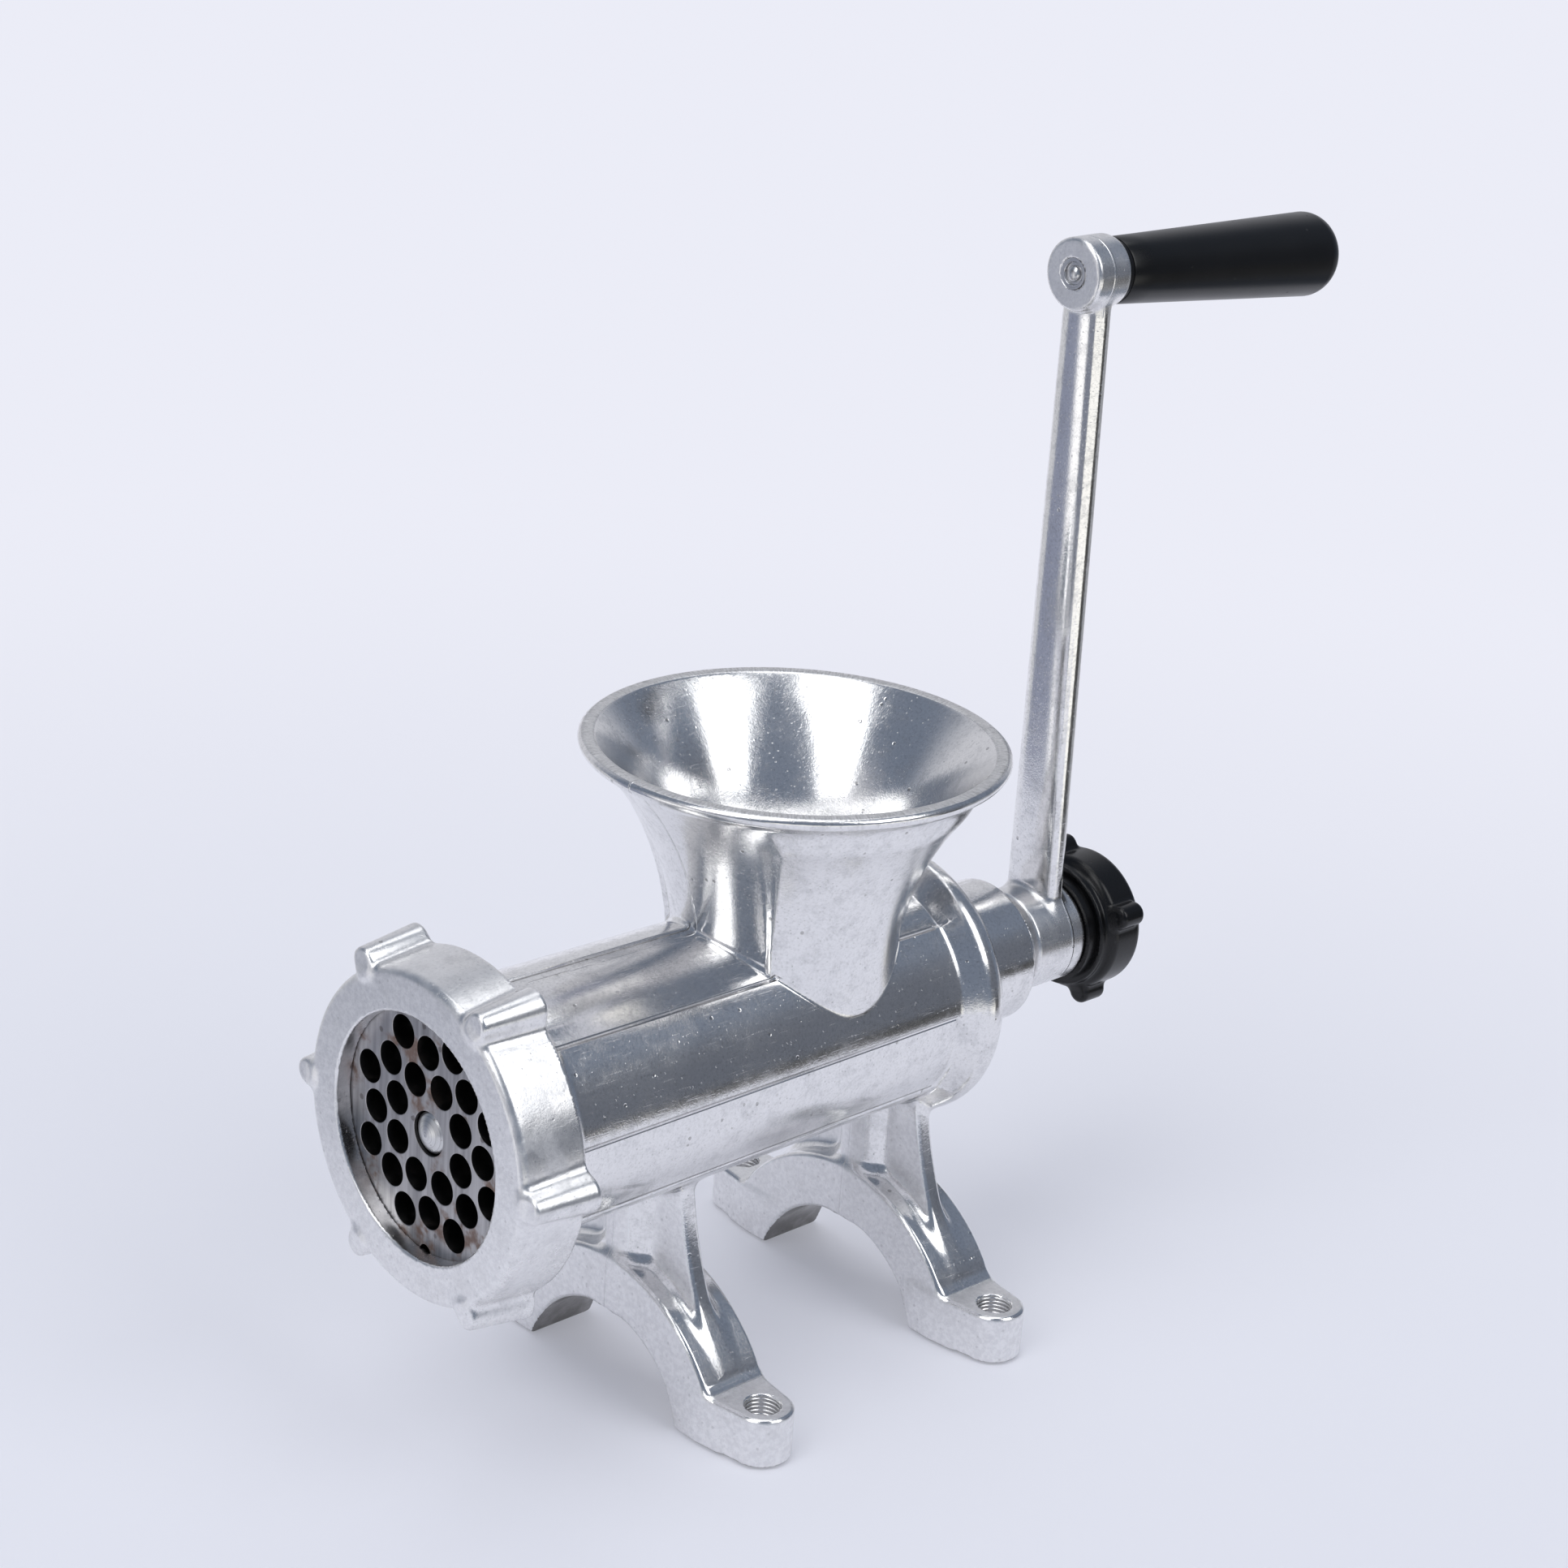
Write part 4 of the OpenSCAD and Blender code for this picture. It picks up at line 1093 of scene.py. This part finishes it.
def floor_material():
    """Pale paper that glows a little for the camera and in reflections, more so far from the part."""
    s = Shader("floor_paper")
    cloud = s.noise(3, 2)
    s.bumps((s.noise(400, 2), 0.01))
    s.finish(s.mix(cloud, PAPER_DARK, PAPER_LIGHT), s.sum(0.85, s.times(cloud, 0.05)), 0.0)
    path = s.node("ShaderNodeLightPath").outputs
    seen = s.sum(path["Is Camera Ray"], path["Is Glossy Ray"], path["Is Transmission Ray"])
    far = s.ramp(s.radius(s.x, s.y, *GLOW_MIDDLE), *GLOW_REACH, GLOW_NEAR, 1.0)
    glow = s.node("ShaderNodeEmission", {"Color": PAPER_GLOW, "Strength": 1.0})
    both = s.node("ShaderNodeMixShader", {0: s.math("MINIMUM", s.times(seen, far), 1.0),
                                          1: s.bsdf.outputs[0], 2: glow.outputs[0]})
    s.put(s.tree.nodes["Material Output"].inputs["Surface"], both.outputs[0])
    return s.material


floor_mesh = bpy.data.meshes.new("floor")
corners = [(NEARER[0] * near + ASIDE[0] * side, ASIDE[1] * side + NEARER[1] * near, 0)
           for near, side in TABLE]
floor_mesh.from_pydata(corners, [], [range(len(TABLE))])
floor = bpy.data.objects.new("floor", floor_mesh)
bpy.context.scene.collection.objects.link(floor)
floor_mesh.materials.append(floor_material())


def heading(azimuth, height):
    """Direction at an azimuth and a height in degrees."""
    a, h = math.radians(azimuth), math.radians(height)
    return Vector((math.cos(h) * math.cos(a), math.cos(h) * math.sin(a), math.sin(h)))


def studio_world():
    """A dim room with pale and dark panels, which the metal mirrors."""
    world = bpy.data.worlds.new("studio")
    bpy.context.scene.world = world
    world.use_nodes = True
    tree = world.node_tree
    spot = tree.nodes.new("ShaderNodeTexCoord").outputs["Generated"]

    def node(kind, *inputs, **settings):
        made = tree.nodes.new(kind)
        for key, value in settings.items():
            setattr(made, key, value)
        for socket, value in zip(made.inputs, inputs):
            if isinstance(value, bpy.types.NodeSocket):
                tree.links.new(value, socket)
            else:
                socket.default_value = value
        return made.outputs

    def along(azimuth, height):
        return node("ShaderNodeVectorMath", spot, heading(azimuth, height), operation="DOT_PRODUCT")["Value"]

    def ramp(value, low, high, start, end):
        limits = (low, high, start, end)
        return node("ShaderNodeMapRange", value, *limits, interpolation_type="SMOOTHSTEP")["Result"]

    def lobe(azimuth, height, inner, outer):
        """1 near a heading, 0 away from it, angles in degrees."""
        near = along(azimuth, height)
        return ramp(near, math.cos(math.radians(outer)), math.cos(math.radians(inner)), 0, 1)

    def panel(azimuth, half_width, low, high, soft):
        """1 in a range of headings and heights, in degrees."""
        angle = node("ShaderNodeMath", along(azimuth + 90, 0), along(azimuth, 0), operation="ARCTAN2")[0]
        off = node("ShaderNodeMath", angle, operation="ABSOLUTE")[0]
        wide = ramp(off, math.radians(half_width), math.radians(half_width + soft), 1, 0)
        rise = along(0, 90)
        floor_side = ramp(rise, math.sin(math.radians(low - soft)), math.sin(math.radians(low)), 0, 1)
        top_side = ramp(rise, math.sin(math.radians(high)), math.sin(math.radians(high + soft)), 1, 0)
        both = node("ShaderNodeMath", floor_side, top_side, operation="MULTIPLY")[0]
        return node("ShaderNodeMath", wide, both, operation="MULTIPLY")[0]

    colour = ROOM
    tones = [(lobe(*place), tone) for place, tone in LOBES]
    tones += [(panel(*place), tone) for place, tone in PANELS]
    for share, tone in tones:
        mixed = tree.nodes.new("ShaderNodeMix")
        mixed.data_type = "RGBA"
        for place, value in ((0, share), (6, colour), (7, tone)):
            if isinstance(value, tuple):
                mixed.inputs[place].default_value = value
            else:
                tree.links.new(value, mixed.inputs[place])
        colour = mixed.outputs[2]
    tree.links.new(colour, tree.nodes["Background"].inputs["Color"])


studio_world()


def softbox(name, azimuth, height, size, level, roll):
    """Area lamp that faces the part; level is how bright its face looks, where white paper is 1."""
    light = bpy.data.lights.new(name, "AREA")
    light.shape = "RECTANGLE"
    light.size, light.size_y = size
    light.energy = level * math.pi * size[0] * size[1]
    lamp = bpy.data.objects.new(name, light)
    place = heading(azimuth, height) * LAMP_DISTANCE + Vector(LAMP_AIM)
    aim = heading(azimuth, height).to_track_quat("Z", "Y").to_matrix().to_4x4()
    lamp.matrix_world = Matrix.Translation(place) @ aim @ Matrix.Rotation(math.radians(roll), 4, "Z")
    bpy.context.scene.collection.objects.link(lamp)


for name, settings in LAMPS.items():
    softbox(name, *settings)

camera_data = bpy.data.cameras.new("camera")
camera_data.sensor_width = SENSOR
camera_data.sensor_fit = "HORIZONTAL"
camera_data.lens = FOCAL_PX / FRAME_PX * SENSOR
camera_data.clip_start = 0.01
camera_data.clip_end = 50
camera = bpy.data.objects.new("camera", camera_data)
right = Vector(CAMERA_RIGHT)
above = Vector(CAMERA_UP)
behind = Vector(CAMERA_BACK)
place = Vector(CAMERA_AIM) * MM + behind * CAMERA_DISTANCE * MM
camera.matrix_world = Matrix(((right.x, above.x, behind.x, place.x),
                              (right.y, above.y, behind.y, place.y),
                              (right.z, above.z, behind.z, place.z), (0, 0, 0, 1)))
bpy.context.scene.collection.objects.link(camera)
bpy.context.scene.camera = camera
bpy.context.scene.view_settings.view_transform = "Standard"
